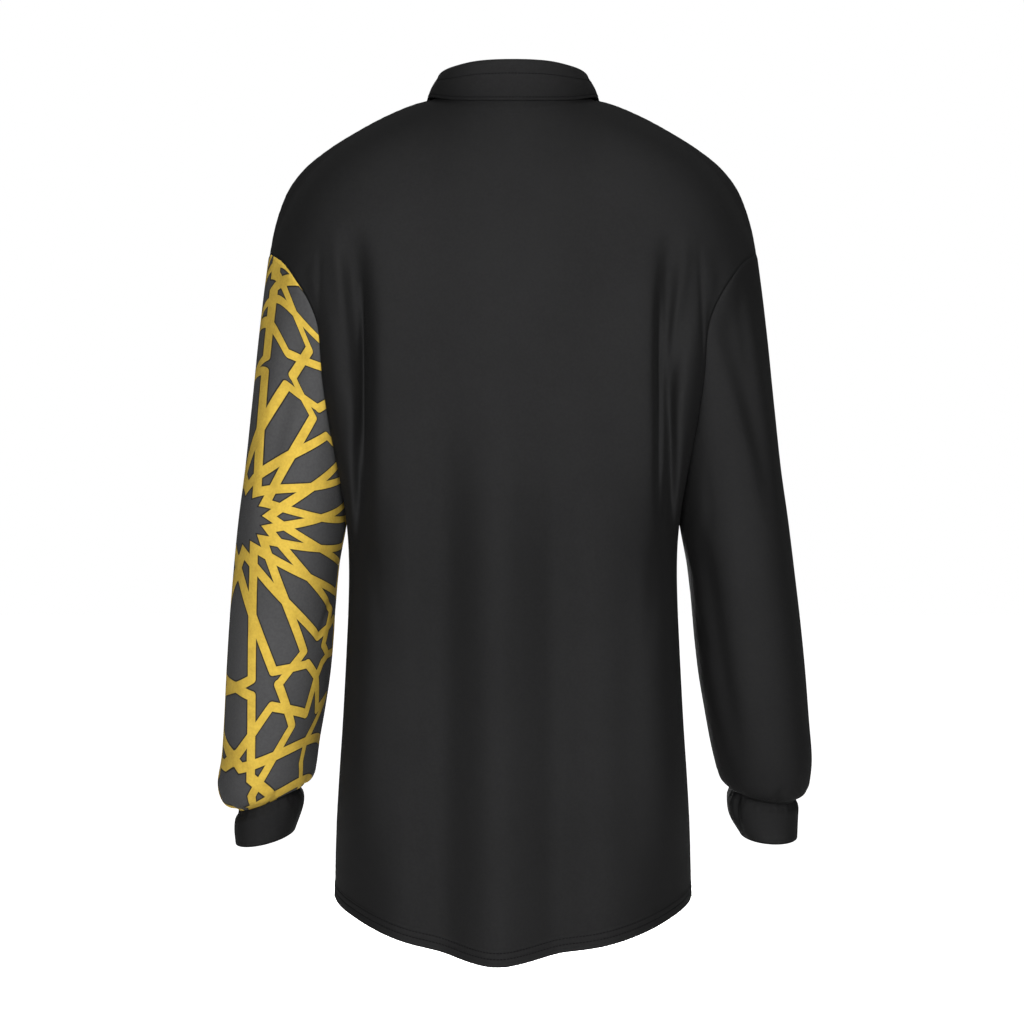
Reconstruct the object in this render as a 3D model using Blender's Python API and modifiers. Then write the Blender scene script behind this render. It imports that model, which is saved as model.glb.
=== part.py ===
"""A long-sleeved polo shirt in the shape it has when worn, hollow and open.

Metres, +Z up. The front faces -Y and the wearer's left arm is at +X. The origin lies
midway between the high shoulder points, where the wearer's shoulders carry the shirt.
Each panel is a loft through sections worked out from the tables below. Its wall grows
inwards from the shirt's outer face.
"""

import math
from collections import namedtuple

import bpy
import numpy as np
from mathutils import Matrix, Vector
from mathutils.bvhtree import BVHTree

KNIT = 0.0012  # wall of the single-layer panels
RIB = 0.0018  # wall of the collar and cuffs, which are double
SEAM_GAP = 0.00045  # clear space between two sewn pieces
BACK, FRONT = 1, -1  # sign of Y for each half of the body
LEFT, RIGHT = 1, -1  # sign of X for each arm

# Torso: half widths and depths at each height, and how square the section is.
Torso = namedtuple("Torso", "z side back front back_handle side_handle")
TORSO = (
    Torso(-0.800, 0.1700, 0.122, 0.128, 0.64, 0.60),
    Torso(-0.730, 0.1690, 0.120, 0.128, 0.64, 0.60),
    Torso(-0.670, 0.1672, 0.119, 0.127, 0.64, 0.60),
    Torso(-0.600, 0.1612, 0.118, 0.127, 0.65, 0.61),
    Torso(-0.520, 0.1576, 0.117, 0.127, 0.66, 0.62),
    Torso(-0.450, 0.1536, 0.118, 0.128, 0.68, 0.64),
    Torso(-0.398, 0.1568, 0.119, 0.128, 0.70, 0.66),
    Torso(-0.340, 0.1580, 0.120, 0.128, 0.72, 0.66),
)
ARMPIT_Z = -0.398

# Shirt-tail hem: highest at the side seams, with one fuller spot in each panel.
SIDE_HEM_Z = -0.756
TAIL_DROP = 0.028
TAIL_POWER = 0.8
Fullness = namedtuple("Fullness", "x half_width drop")
HEM_FULLNESS = {BACK: Fullness(0.020, 0.055, 0.012), FRONT: Fullness(-0.006, 0.060, 0.006)}

# Neckline of the body, from centre back over the high shoulder point to centre front.
NECK_HALF_WIDTH = 0.0730
NECK_DEPTH = {BACK: 0.0655, FRONT: 0.0740}
NECK_DROP = {BACK: 0.0110, FRONT: 0.0760}
NECK_ROUNDING = {BACK: 1.6, FRONT: 1.5}

# Shoulder seam, from the high shoulder point over the dropped shoulder to the armhole.
SeamPoint = namedtuple("SeamPoint", "x y z")
SHOULDER = (
    SeamPoint(0.0730, 0.000, 0.0010),
    SeamPoint(0.0930, 0.000, -0.0042),
    SeamPoint(0.1210, -0.001, -0.0155),
    SeamPoint(0.1490, -0.001, -0.0305),
    SeamPoint(0.1760, -0.002, -0.0472),
    SeamPoint(0.1992, -0.003, -0.0660),
    SeamPoint(0.2135, -0.003, -0.0850),
    SeamPoint(0.2220, -0.004, -0.1045),
    SeamPoint(0.2278, -0.004, -0.1245),
    SeamPoint(0.2318, -0.004, -0.1460),
)

# Armhole seam of either arm: armpit, up the back, over the shoulder, down the front.
ARMPIT_TO_TOP = 10  # rows from the armpit to the end of the shoulder seam
ARMHOLE = (
    SeamPoint(0.1568, 0.0000, -0.3980),
    SeamPoint(0.1605, 0.0350, -0.3660),
    SeamPoint(0.1697, 0.0575, -0.3120),
    SeamPoint(0.1763, 0.0662, -0.2583),
    SeamPoint(0.1785, 0.0668, -0.2270),
    SeamPoint(0.1827, 0.0660, -0.2079),
    SeamPoint(0.1961, 0.0600, -0.1862),
    SeamPoint(0.2064, 0.0500, -0.1694),
    SeamPoint(0.2150, 0.0380, -0.1595),
    SeamPoint(0.2275, 0.0170, -0.1500),
    SeamPoint(0.2318, -0.0040, -0.1460),
    SeamPoint(0.2265, -0.0260, -0.1500),
    SeamPoint(0.2140, -0.0460, -0.1595),
    SeamPoint(0.2050, -0.0570, -0.1694),
    SeamPoint(0.1945, -0.0665, -0.1862),
    SeamPoint(0.1810, -0.0715, -0.2079),
    SeamPoint(0.1755, -0.0720, -0.2270),
    SeamPoint(0.1728, -0.0705, -0.2583),
    SeamPoint(0.1672, -0.0600, -0.3120),
    SeamPoint(0.1600, -0.0350, -0.3660),
)

# How strongly the upper body bellies out between the armpit row and the top edge.
SHOULDER_PULL = {BACK: 0.34, FRONT: 0.36}
NECK_PULL = {BACK: 0.30, FRONT: 0.22}
NECK_SLOPE_DEG = {BACK: 62.0, FRONT: 66.0}
ARMPIT_PULL = 0.30
NECK_SHARE = 0.30  # share of the half row's parameter that ends on the neckline

# The crease between body and arm. One line of the grid follows it from hem to shoulder.
Crease = namedtuple("Crease", "z x depth inner_width outer_width")
CREASE = (
    Crease(-0.800, 0.1420, 0.000, 0.014, 0.014),
    Crease(-0.560, 0.1420, 0.000, 0.014, 0.014),
    Crease(-0.470, 0.1425, 0.004, 0.014, 0.012),
    Crease(-0.420, 0.1418, 0.012, 0.012, 0.008),
    Crease(-0.385, 0.1402, 0.020, 0.011, 0.006),
    Crease(-0.340, 0.1385, 0.023, 0.011, 0.006),
    Crease(-0.300, 0.1374, 0.023, 0.011, 0.006),
    Crease(-0.256, 0.1369, 0.021, 0.011, 0.010),
    Crease(-0.215, 0.1375, 0.016, 0.012, 0.017),
    Crease(-0.170, 0.1390, 0.008, 0.012, 0.018),
    Crease(-0.130, 0.1410, 0.000, 0.012, 0.018),
    Crease(-0.025, 0.1440, 0.000, 0.012, 0.018),
)
CREASE_SHIFT = {LEFT: 0.0, RIGHT: -0.0045}
CREASE_SHARE = {BACK: 1.0, FRONT: 0.75}

# Soft folds of the body: a line in the front or back view, its half width and height.
# A height below zero is a trough. The fades say how much of the length swells and dies.
Fold = namedtuple("Fold", "x_top z_top x_bottom z_bottom half_width height fade_in fade_out")
FOLDS = {
    BACK: (
        Fold(0.0440, -0.270, 0.0470, -0.82, 0.0170, -0.0085, 0.50, 0.0),
        Fold(0.0130, -0.260, 0.0110, -0.82, 0.0160, 0.0065, 0.50, 0.0),
        Fold(-0.0170, -0.270, -0.0210, -0.82, 0.0150, -0.0070, 0.50, 0.0),
        Fold(-0.0520, -0.290, -0.0580, -0.82, 0.0170, 0.0045, 0.50, 0.0),
        Fold(-0.0860, -0.270, -0.0870, -0.82, 0.0160, -0.0035, 0.40, 0.0),
        Fold(0.1640, -0.130, 0.1410, -0.29, 0.0070, 0.0040, 0.35, 0.30),
        Fold(-0.1600, -0.130, -0.1370, -0.29, 0.0070, 0.0045, 0.35, 0.30),
    ),
    FRONT: (
        Fold(0.0560, -0.260, 0.0660, -0.82, 0.0230, 0.0080, 0.50, 0.0),
        Fold(0.0180, -0.300, 0.0200, -0.82, 0.0200, -0.0055, 0.50, 0.0),
        Fold(-0.0260, -0.330, -0.0280, -0.82, 0.0180, 0.0040, 0.50, 0.0),
        Fold(-0.0660, -0.280, -0.0740, -0.82, 0.0220, -0.0060, 0.50, 0.0),
        Fold(0.1600, -0.140, 0.1420, -0.29, 0.0080, 0.0040, 0.35, 0.30),
        Fold(-0.1580, -0.140, -0.1400, -0.29, 0.0080, 0.0040, 0.35, 0.30),
    ),
}

# Sleeve rings of either arm, from the armhole to where the wrist begins. back_drop
# tilts a ring: its back half hangs that much lower, and its front half higher.
SleeveRing = namedtuple("SleeveRing", "outer_x outer_z inner_x inner_z y half_depth back_drop")
SLEEVE = (
    SleeveRing(0.2318, -0.146, 0.1568, -0.398, -0.003, 0.0695, 0.000),
    SleeveRing(0.2374, -0.190, 0.1578, -0.403, -0.002, 0.0695, 0.000),
    SleeveRing(0.2422, -0.235, 0.1588, -0.408, -0.001, 0.0695, 0.000),
    SleeveRing(0.2472, -0.290, 0.1602, -0.415, 0.000, 0.0690, 0.000),
    SleeveRing(0.2528, -0.347, 0.1624, -0.426, 0.001, 0.0685, 0.001),
    SleeveRing(0.2596, -0.400, 0.1655, -0.445, 0.002, 0.0675, 0.002),
    SleeveRing(0.2650, -0.450, 0.1690, -0.478, 0.000, 0.065, 0.004),
    SleeveRing(0.2700, -0.497, 0.1722, -0.513, -0.006, 0.063, 0.006),
    SleeveRing(0.2740, -0.542, 0.1765, -0.548, -0.013, 0.061, 0.007),
    SleeveRing(0.2776, -0.588, 0.1826, -0.582, -0.021, 0.059, 0.007),
    SleeveRing(0.2812, -0.624, 0.1886, -0.612, -0.029, 0.057, 0.007),
)
ARM_SWING = {LEFT: (-0.0010, -0.0020), RIGHT: (0.0062, 0.0015)}  # outer and inner, at the wrist
# Last sleeve rings and the cuff's rings, arm by arm: the two wrists hang differently.
WRIST = {
    LEFT: (
        SleeveRing(0.2850, -0.652, 0.1902, -0.636, -0.034, 0.054, 0.006),
        SleeveRing(0.2808, -0.670, 0.1935, -0.648, -0.037, 0.048, 0.005),
        SleeveRing(0.2690, -0.681, 0.2035, -0.6575, -0.040, 0.0375, 0.004),
    ),
    RIGHT: (
        SleeveRing(0.2870, -0.645, 0.1950, -0.632, -0.034, 0.054, 0.006),
        SleeveRing(0.2846, -0.660, 0.1998, -0.650, -0.037, 0.048, 0.005),
        SleeveRing(0.2775, -0.6725, 0.2072, -0.6620, -0.040, 0.0375, 0.004),
    ),
}
CUFF = {
    LEFT: (
        SleeveRing(0.2688, -0.6816, 0.2037, -0.6581, -0.040, 0.0373, 0.004),
        SleeveRing(0.2706, -0.6980, 0.2036, -0.6760, -0.043, 0.0355, 0.004),
        SleeveRing(0.2698, -0.7120, 0.2118, -0.7000, -0.046, 0.0340, 0.005),
    ),
    RIGHT: (
        SleeveRing(0.2774, -0.6731, 0.2073, -0.6626, -0.040, 0.0373, 0.004),
        SleeveRing(0.2768, -0.6880, 0.2095, -0.6850, -0.043, 0.0355, 0.004),
        SleeveRing(0.2764, -0.7060, 0.2208, -0.7040, -0.046, 0.0345, 0.005),
    ),
}

# Folds along a sleeve: place round the ring (0 outer, 0.25 back, 0.5 inner, 0.75 front)
# and along the sleeve (0 armhole, 1 cuff).
SleeveFold = namedtuple("SleeveFold", "round_top along_top round_bottom along_bottom half_round height")
SLEEVE_FOLDS = {
    LEFT: (
        SleeveFold(0.15, -0.05, 0.21, 0.45, 0.032, -0.0035),
        SleeveFold(0.86, -0.05, 0.80, 0.50, 0.035, -0.0045),
        SleeveFold(0.62, 0.25, 0.70, 0.80, 0.035, -0.0035),
    ),
    RIGHT: (
        SleeveFold(0.13, -0.10, 0.17, 0.40, 0.032, -0.0045),
        SleeveFold(0.84, -0.05, 0.79, 0.48, 0.035, -0.0040),
        SleeveFold(0.39, 0.20, 0.33, 0.85, 0.040, -0.0040),
        SleeveFold(0.63, 0.30, 0.69, 0.78, 0.035, -0.0035),
    ),
}

# Collar, by the turn round the neck in degrees: 0 is centre back, 180 centre front.
Collar = namedtuple("Collar", "turn lean stand fold edge_out edge_drop")
COLLAR = (
    Collar(0.0, 0.0020, 0.0190, 0.0325, 0.0125, 0.0090),
    Collar(25.0, 0.0030, 0.0185, 0.0312, 0.0125, 0.0080),
    Collar(50.0, 0.0050, 0.0165, 0.0262, 0.0115, 0.0050),
    Collar(90.0, 0.0075, 0.0120, 0.0198, 0.0090, 0.0005),
    Collar(125.0, 0.0050, 0.0130, 0.0205, 0.0190, 0.0120),
    Collar(155.0, 0.0035, 0.0145, 0.0215, 0.0250, 0.0300),
    Collar(170.0, 0.0030, 0.0150, 0.0200, 0.0360, 0.0460),
)
COLLAR_STEP = 10.0  # degrees between sections, on the neckline's own columns
FALL_END_TURN = 170.0
STAND_END_TURN = 190.0  # both ends pass the centre front
STAND_LAP_OUT = 0.0028  # how far out the left end is moved, to lie over the right end
FOLD_RADIUS = 0.0034
STAND_RAISE = 0.0009  # clear space between the neckline and the stand
FALL_RAISE = 0.0006  # clear space between the stand and the fall sewn on its top
FALL_LIFT = 0.0018  # clear space under the fall where it lies on the shirt

PLACKET_WIDTH = 0.030
PLACKET_LENGTH = 0.150
PLACKET_LIFT = 0.0006  # clear space between the placket and the front panel
BUTTON_RADIUS = 0.0057
BUTTON_THICK = 0.0026
BUTTON_LIFT = 0.0006  # clear space under a button, where its thread is
BUTTON_DEPTHS = (0.052, 0.104)  # below the neckline; the first button sits on the stand

LOWER_ROWS = 9
UPPER_ROWS = 13
FINE_COLUMNS = 60
NECK_COLUMNS = 9
TO_CREASE = (0.0, 0.24, 0.45, 0.63, 0.77, 0.88, 0.95, 1.0)
PAST_CREASE = (0.0, 0.04, 0.09, 0.16, 0.27, 0.43, 0.62, 0.81, 1.0)
SLEEVE_ROWS = 20
CUFF_ROWS = 3

BLACK = (0.027, 0.027, 0.028)
BUTTON_BLACK = (0.012, 0.012, 0.013)
PRINT_GREY = (0.065, 0.065, 0.066)


def clear_scene():
    for obj in list(bpy.data.objects):
        bpy.data.objects.remove(obj)


def through(keys, values, at):
    """A smooth curve through a table's column, read at any key."""
    keys = np.asarray(keys, float)
    values = np.asarray(values, float)
    at = np.atleast_1d(np.asarray(at, float))
    slopes = np.gradient(values, keys, axis=0)
    low = np.clip(np.searchsorted(keys, at) - 1, 0, len(keys) - 2)
    span = keys[low + 1] - keys[low]
    t = (at - keys[low]) / span
    if values.ndim > 1:
        t, span = t[:, None], span[:, None]
    return (
        (2 * t**3 - 3 * t**2 + 1) * values[low]
        + (t**3 - 2 * t**2 + t) * span * slopes[low]
        + (3 * t**2 - 2 * t**3) * values[low + 1]
        + (t**3 - t**2) * span * slopes[low + 1]
    )


def run_of(points):
    """Distance along a polyline at each of its points."""
    steps = np.linalg.norm(np.diff(points, axis=0), axis=1)
    return np.concatenate([[0.0], np.cumsum(steps)])


def at_run(points, run, places):
    """Points of a dense polyline at the given distances along it."""
    return np.stack([np.interp(places, run, points[:, axis]) for axis in range(3)], axis=1)


def evenly(points, shares):
    """Points at the given shares of a smooth line's length."""
    points = np.asarray(points, float)
    run = run_of(points)
    dense = through(run, points, np.linspace(0, run[-1], 400))
    run = run_of(dense)
    return at_run(dense, run, np.asarray(shares) * run[-1])


def smooth_step(t):
    t = np.clip(t, 0.0, 1.0)
    return t * t * (3 - 2 * t)


def column_at(table, name, z):
    """A column of a table whose rows are sorted by z, read at any z."""
    rows = sorted(table)
    return through([row.z for row in rows], [getattr(row, name) for row in rows], z)


def torso_point(u, z, face):
    """A quarter of the torso's section at height z, from the centre line to the side seam."""
    side = column_at(TORSO, "side", z)[0]
    depth = face * column_at(TORSO, "back" if face == BACK else "front", z)[0]
    level = column_at(TORSO, "back_handle", z)[0] * side
    lower = column_at(TORSO, "side_handle", z)[0] * depth
    ends = (
        np.array([0.0, depth, z]),
        np.array([level, depth, z]),
        np.array([side, lower, z]),
        np.array([side, 0.0, z]),
    )
    weights = ((1 - u) ** 3, 3 * u * (1 - u) ** 2, 3 * u * u * (1 - u), u**3)
    return sum(weight * end for weight, end in zip(weights, ends))


def hem_height(u):
    """The shirt-tail hem, for a column of the body."""
    across = torso_point(u, TORSO[0].z, BACK)[0] / TORSO[0].side
    return SIDE_HEM_Z - TAIL_DROP * max(1 - across**2, 0.0) ** TAIL_POWER


def neck_point(turn, out=0.0):
    """The neckline at an angle from centre back, in degrees, moved outwards if asked."""
    a = math.radians(turn)
    face = BACK if math.cos(a) >= 0 else FRONT
    share = abs(math.cos(a))
    x = (NECK_HALF_WIDTH + out) * math.sin(a)
    y = face * (NECK_DEPTH[face] + out) * share
    return np.array([x, y, SHOULDER[0].z - NECK_DROP[face] * share ** NECK_ROUNDING[face]])


def top_edge(u, face):
    """The neckline and then the shoulder seam, for a column of the body."""
    if u <= NECK_SHARE:
        turn = 90.0 * u / NECK_SHARE
        return neck_point(turn if face == BACK else 180.0 - turn)
    share = (u - NECK_SHARE) / (1 - NECK_SHARE)
    return evenly([tuple(point) for point in SHOULDER], [share])[0]


def top_pull(u, face):
    """How a column leaves the top edge: straight over the shoulder, or down the neck."""
    slope = math.radians(NECK_SLOPE_DEG[face])
    down_neck = NECK_PULL[face] * np.array([0.0, -face * math.cos(slope), math.sin(slope)])
    over = SHOULDER_PULL[face] * np.array([0.0, -face, 0.0])
    return down_neck + (over - down_neck) * smooth_step(u / (1.6 * NECK_SHARE))


def armhole_seam(face, shares):
    """Half of the armhole seam, from the armpit to the end of the shoulder seam."""
    loop = [tuple(point) for point in ARMHOLE]
    if face == FRONT:
        loop = loop[:1] + loop[:0:-1]
    top = ARMPIT_TO_TOP if face == BACK else len(loop) - ARMPIT_TO_TOP
    points = np.array(loop[-2:] + loop[: top + 3])
    run = run_of(points)
    dense = through(run, points, np.linspace(run[2], run[top + 2], 400))
    run = run_of(dense)
    return at_run(dense, run, np.asarray(shares) * run[-1])


def smooth_row(level, face):
    """One smooth half row. Levels 0 to 1 climb from hem to armpit, 1 to 2 to the top."""
    columns = np.linspace(0, 1, FINE_COLUMNS + 1)
    if level <= 1:
        heights = [hem_height(u) * (1 - level) + ARMPIT_Z * level for u in columns]
        return np.array([torso_point(u, z, face) for u, z in zip(columns, heights)])
    q = level - 1
    h00, h10 = 2 * q**3 - 3 * q**2 + 1, q**3 - 2 * q**2 + q
    h01, h11 = 3 * q**2 - 2 * q**3, q**3 - q**2
    step = 0.01
    row = []
    for u in columns:
        base = torso_point(u, ARMPIT_Z, face)
        rise = (torso_point(u, ARMPIT_Z + step, face) - base) / step * ARMPIT_PULL
        row.append(h00 * base + h10 * rise + h01 * top_edge(u, face) + h11 * top_pull(u, face))
    row = np.array(row)
    to_seam = armhole_seam(face, [q])[0] - row[-1]
    return row + (smooth_step(columns) ** 2)[:, None] * to_seam


def relax(grid, passes):
    """Evens out the inside of a grid and leaves its edges."""
    for _ in range(passes):
        inner = (grid[:-2, 1:-1] + grid[2:, 1:-1] + grid[1:-1, :-2] + grid[1:-1, 2:]) / 4
        grid[1:-1, 1:-1] = (grid[1:-1, 1:-1] + inner) / 2
    return grid


def pinned_row(row, side, level):
    """A half row's columns, with one on the neck corner and one on the crease."""
    run = run_of(row)
    crease_x = column_at(CREASE, "x", row[:, 2]) + CREASE_SHIFT[side] * side
    climbing = np.maximum.accumulate(row[:, 0] - crease_x)
    past = int(np.argmax(climbing > 0))
    share = -climbing[past - 1] / (climbing[past] - climbing[past - 1])
    crease = run[past - 1] + share * (run[past] - run[past - 1])
    step = round(NECK_SHARE * FINE_COLUMNS / NECK_COLUMNS)
    neck = run[step * NECK_COLUMNS]
    even = smooth_step((level - 1.55) / 0.45)
    before = np.array(TO_CREASE) * (1 - even) + np.linspace(0, 1, len(TO_CREASE)) * even
    after = np.array(PAST_CREASE) * (1 - even) + np.linspace(0, 1, len(PAST_CREASE)) * even
    places = np.concatenate([
        run[: step * NECK_COLUMNS + 1 : step],
        neck + (crease - neck) * before[1:],
        crease + (run[-1] - crease) * after[1:],
    ])
    return at_run(row, run, places)


def crease_lift(x, z, side):
    """Depth of the crease beside the arm: gentle on the body's side, steep on the arm's."""
    across = (x - CREASE_SHIFT[side]) * side - column_at(CREASE, "x", z.ravel()).reshape(z.shape)
    inner = column_at(CREASE, "inner_width", z.ravel()).reshape(z.shape)
    outer = column_at(CREASE, "outer_width", z.ravel()).reshape(z.shape)
    depth = np.maximum(column_at(CREASE, "depth", z.ravel()).reshape(z.shape), 0.0)
    return -depth * np.exp(-((across / np.where(across < 0, inner, outer)) ** 2))


def fold_lift(x, z, folds):
    """How far the soft folds lift each point, from its place in the front view."""
    lift = np.zeros(x.shape)
    for fold in folds:
        along = (fold.z_top - z) / (fold.z_top - fold.z_bottom)
        across = x - (fold.x_top + (fold.x_bottom - fold.x_top) * along)
        swell = smooth_step(along / fold.fade_in)
        if fold.fade_out:
            swell = swell * smooth_step((1 - along) / fold.fade_out)
        lift += fold.height * swell * np.exp(-((across / fold.half_width) ** 2))
    return lift


def body_grid(face):
    """The whole front or back panel: rows from hem to top, columns from right to left."""
    levels = np.concatenate([
        np.linspace(0, 1, LOWER_ROWS + 1),
        1 + np.linspace(0, 1, UPPER_ROWS + 1)[1:],
    ])
    smooth = relax(np.array([smooth_row(level, face) for level in levels]), 4)
    halves = []
    for side in (RIGHT, LEFT):
        rows = [pinned_row(row, side, level) for row, level in zip(smooth, levels)]
        halves.append(np.array(rows) * np.array([side, 1.0, 1.0]))
    grid = np.concatenate([halves[0][:, :0:-1], halves[1]], axis=1)
    x, z = grid[..., 0].copy(), grid[..., 2].copy()
    lift = fold_lift(x, z, FOLDS[face])
    for side in (RIGHT, LEFT):
        lift += CREASE_SHARE[face] * np.where(x * side > 0, crease_lift(x, z, side), 0.0)
    edge = np.minimum(np.arange(grid.shape[1]), np.arange(grid.shape[1])[::-1])
    grid[..., 1] += face * lift * smooth_step(edge / 3.0)[None, :]
    full = HEM_FULLNESS[face]
    sag = full.drop * np.exp(-(((x - full.x) / full.half_width) ** 2))
    grid[..., 2] -= sag * ((1 - np.clip(levels, 0, 1)) ** 2)[:, None]
    return grid


def unit(vectors):
    return vectors / np.maximum(np.linalg.norm(vectors, axis=-1, keepdims=True), 1e-9)


def normals_of(grid, closed=False):
    """Unit normals of a grid of points, by finite differences."""
    along = np.gradient(grid, axis=0)
    if closed:
        across = (np.roll(grid, -1, axis=1) - np.roll(grid, 1, axis=1)) / 2
    else:
        across = np.gradient(grid, axis=1)
    return unit(np.cross(across, along))


def facing_of(grid, closed=False):
    """Unit normals turned away from the neck's axis or, on a tube, from its middle."""
    normals = normals_of(grid, closed)
    middle = grid.mean(axis=1, keepdims=True) if closed else 0.0
    away = (grid - middle) * (1.0 if closed else np.array([1.0, 1.0, 0.0]))
    return normals * np.sign((normals * away).sum())


def share_normals(first, second):
    """Gives two seam edges one wall direction, unless they meet at an inner corner."""
    facing = (first * second).sum(axis=-1, keepdims=True)
    weight = smooth_step((facing + 0.2) / 0.4)
    return unit(first + second * weight), unit(second + first * weight)


def half_gap(first, first_edge, first_inside, second, second_edge, second_inside):
    """The step, square to the seam, that takes the first edge half the gap from the second."""
    line = unit(np.gradient(first[first_edge], axis=0))
    away = unit(first[first_inside] - first[first_edge])
    apart = away - unit(second[second_inside] - second[second_edge])
    return unit(apart - line * (apart * line).sum(axis=-1, keepdims=True)) * SEAM_GAP / 2


def material_of(name, colour, roughness):
    material = bpy.data.materials.new(name)
    material.use_nodes = True
    shader = material.node_tree.nodes["Principled BSDF"]
    shader.inputs["Base Color"].default_value = (*colour, 1.0)
    shader.inputs["Roughness"].default_value = roughness
    shader.inputs["Metallic"].default_value = 0.0
    return material


def cloth(name, grid, normals, wall, closed=False, colour=BLACK):
    """A loft through the grid's rows with a wall on its inner side and rims at its edges."""
    rows, columns = grid.shape[:2]
    faces = []
    for r in range(rows - 1):
        for c in range(columns if closed else columns - 1):
            d = (c + 1) % columns
            a, b = r * columns + c, r * columns + d
            faces += [(a, b, b + columns), (a, b + columns, a + columns)]
    outer, facing = grid.reshape(-1, 3), normals.reshape(-1, 3)
    corners = outer[np.array(faces)]
    areas = np.cross(corners[:, 1] - corners[:, 0], corners[:, 2] - corners[:, 0])
    if (areas * facing[np.array(faces)[:, 0]]).sum() < 0:
        faces = [face[::-1] for face in faces]
    edges = {edge for a, b, c in faces for edge in ((a, b), (b, c), (c, a))}
    count = len(outer)
    solid = faces + [(c + count, b + count, a + count) for a, b, c in faces]
    for a, b in sorted(edges):
        if (b, a) not in edges:
            solid.append((b, a, a + count, b + count))
    points = np.concatenate([outer, outer - facing * wall])
    mesh = bpy.data.meshes.new(name)
    mesh.from_pydata([tuple(point) for point in points], [], solid)
    mesh.shade_smooth()
    mesh.materials.append(material_of(name, colour, 0.85))
    obj = bpy.data.objects.new(name, mesh)
    SHIRT.objects.link(obj)
    return obj


def half_ring(ring, face):
    """From the outer point of a sleeve ring, round its back or front, to its inner point."""
    outer = np.array([ring.outer_x, ring.y, ring.outer_z])
    inner = np.array([ring.inner_x, ring.y, ring.inner_z])
    middle, reach = (outer + inner) / 2, (outer - inner) / 2
    bulge = face * np.array([0.0, ring.half_depth, -ring.back_drop])
    angles = np.linspace(0, math.pi, 49)
    return middle + np.cos(angles)[:, None] * reach + (np.sin(angles) ** 0.94)[:, None] * bulge


def whole_ring(back_half, front_half):
    """Joins the two halves of a ring into one closed row, outer point first."""
    shares = np.linspace(0, 1, UPPER_ROWS + 1)
    return np.concatenate([evenly(back_half, shares)[:-1], evenly(front_half, shares)[:0:-1]])


def ring_between(rings, place):
    """A ring read from a table of rings, 0 at its first row and 1 at its last."""
    keys = np.linspace(0, 1, len(rings))
    return SleeveRing(*through(keys, [tuple(ring) for ring in rings], place)[0])


def swung(arm):
    """The sleeve's rings, swung a little outwards or inwards towards the wrist."""
    outer, inner = ARM_SWING[arm]
    rings = []
    for index, ring in enumerate(SLEEVE):
        share = smooth_step((index - 4) / 6)
        rings.append(ring._replace(
            outer_x=ring.outer_x + outer * share,
            inner_x=ring.inner_x + inner * share,
        ))
    return tuple(rings) + WRIST[arm]


def sleeve_grid(arm):
    """Rings from the armhole seam to the cuff seam, for an arm on the +X side."""
    rings = swung(arm)
    shares = np.linspace(0, 1, UPPER_ROWS + 1)
    back_seam, front_seam = armhole_seam(BACK, shares), armhole_seam(FRONT, shares)
    seam = np.concatenate([back_seam[:0:-1], front_seam[:-1]])
    plain = ring_between(rings, 0.0)
    first = whole_ring(half_ring(plain, BACK), half_ring(plain, FRONT))
    rows = []
    places = np.concatenate([
        np.linspace(0, 0.78, SLEEVE_ROWS - 6 + 1)[:-1],
        np.linspace(0.78, 1, 6 + 1),
    ])
    for place in places:
        ring = ring_between(rings, place)
        row = whole_ring(half_ring(ring, BACK), half_ring(ring, FRONT))
        rows.append(row + (seam - first) * (1 - smooth_step(place / 0.30)))
    grid = np.array(rows)
    normal = -normals_of(grid, closed=True)
    lift = np.zeros(grid.shape[:2])
    turns = np.arange(grid.shape[1]) / grid.shape[1]
    for fold in SLEEVE_FOLDS[arm]:
        along = (places - fold.along_top) / (fold.along_bottom - fold.along_top)
        centre = fold.round_top + (fold.round_bottom - fold.round_top) * along
        across = (turns[None, :] - centre[:, None] + 0.5) % 1.0 - 0.5
        swell = smooth_step(along / 0.4) * smooth_step((1 - along) / 0.4)
        lift += fold.height * swell[:, None] * np.exp(-((across / fold.half_round) ** 2))
    lift *= smooth_step(places / 0.08)[:, None] * smooth_step((1 - places) / 0.06)[:, None]
    return grid + normal * lift[..., None]


def cuff_grid(arm):
    rows = []
    for place in np.linspace(0, 1, CUFF_ROWS + 1):
        ring = ring_between(CUFF[arm], place)
        rows.append(whole_ring(half_ring(ring, BACK), half_ring(ring, FRONT)))
    return np.array(rows)


def tree_of(*grids):
    """The outer face of the body panels, for laying other pieces on them."""
    points, faces = [], []
    for grid in grids:
        rows, columns = grid.shape[:2]
        start = len(points)
        points.extend(Vector(point) for point in grid.reshape(-1, 3))
        for r in range(rows - 1):
            for c in range(columns - 1):
                corner = start + r * columns + c
                faces.append((corner, corner + 1, corner + columns + 1, corner + columns))
    return BVHTree.FromPolygons(points, faces)


def neck_out(turn):
    """Level direction away from the middle of the neck."""
    step = neck_point(turn, 0.01) - neck_point(turn)
    return unit(step * np.array([1.0, 1.0, 0.0]))


def collar_at(turn):
    """The collar's sizes at an angle, the same on both sides of centre back."""
    keys = [-row.turn for row in COLLAR[:0:-1]] + [row.turn for row in COLLAR]
    values = [tuple(row) for row in COLLAR[:0:-1] + COLLAR]
    return Collar(*through(keys, values, min(turn, FALL_END_TURN))[0])


def lap_out(turn):
    """How far the stand's left end is moved out, to lie over its right end."""
    return STAND_LAP_OUT * smooth_step((turn - 155.0) / 14.0)


def stand_point(turn, share):
    """The stand's outer face, share of the way up."""
    shape = collar_at(min(abs(turn), 360.0 - abs(turn)))
    out = neck_out(turn) * (lap_out(turn) - shape.lean * share)
    return neck_point(turn) + out + np.array([0.0, 0.0, STAND_RAISE + share * shape.stand])


def turns_to(end):
    return np.arange(-end, end + COLLAR_STEP / 2, COLLAR_STEP)


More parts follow.
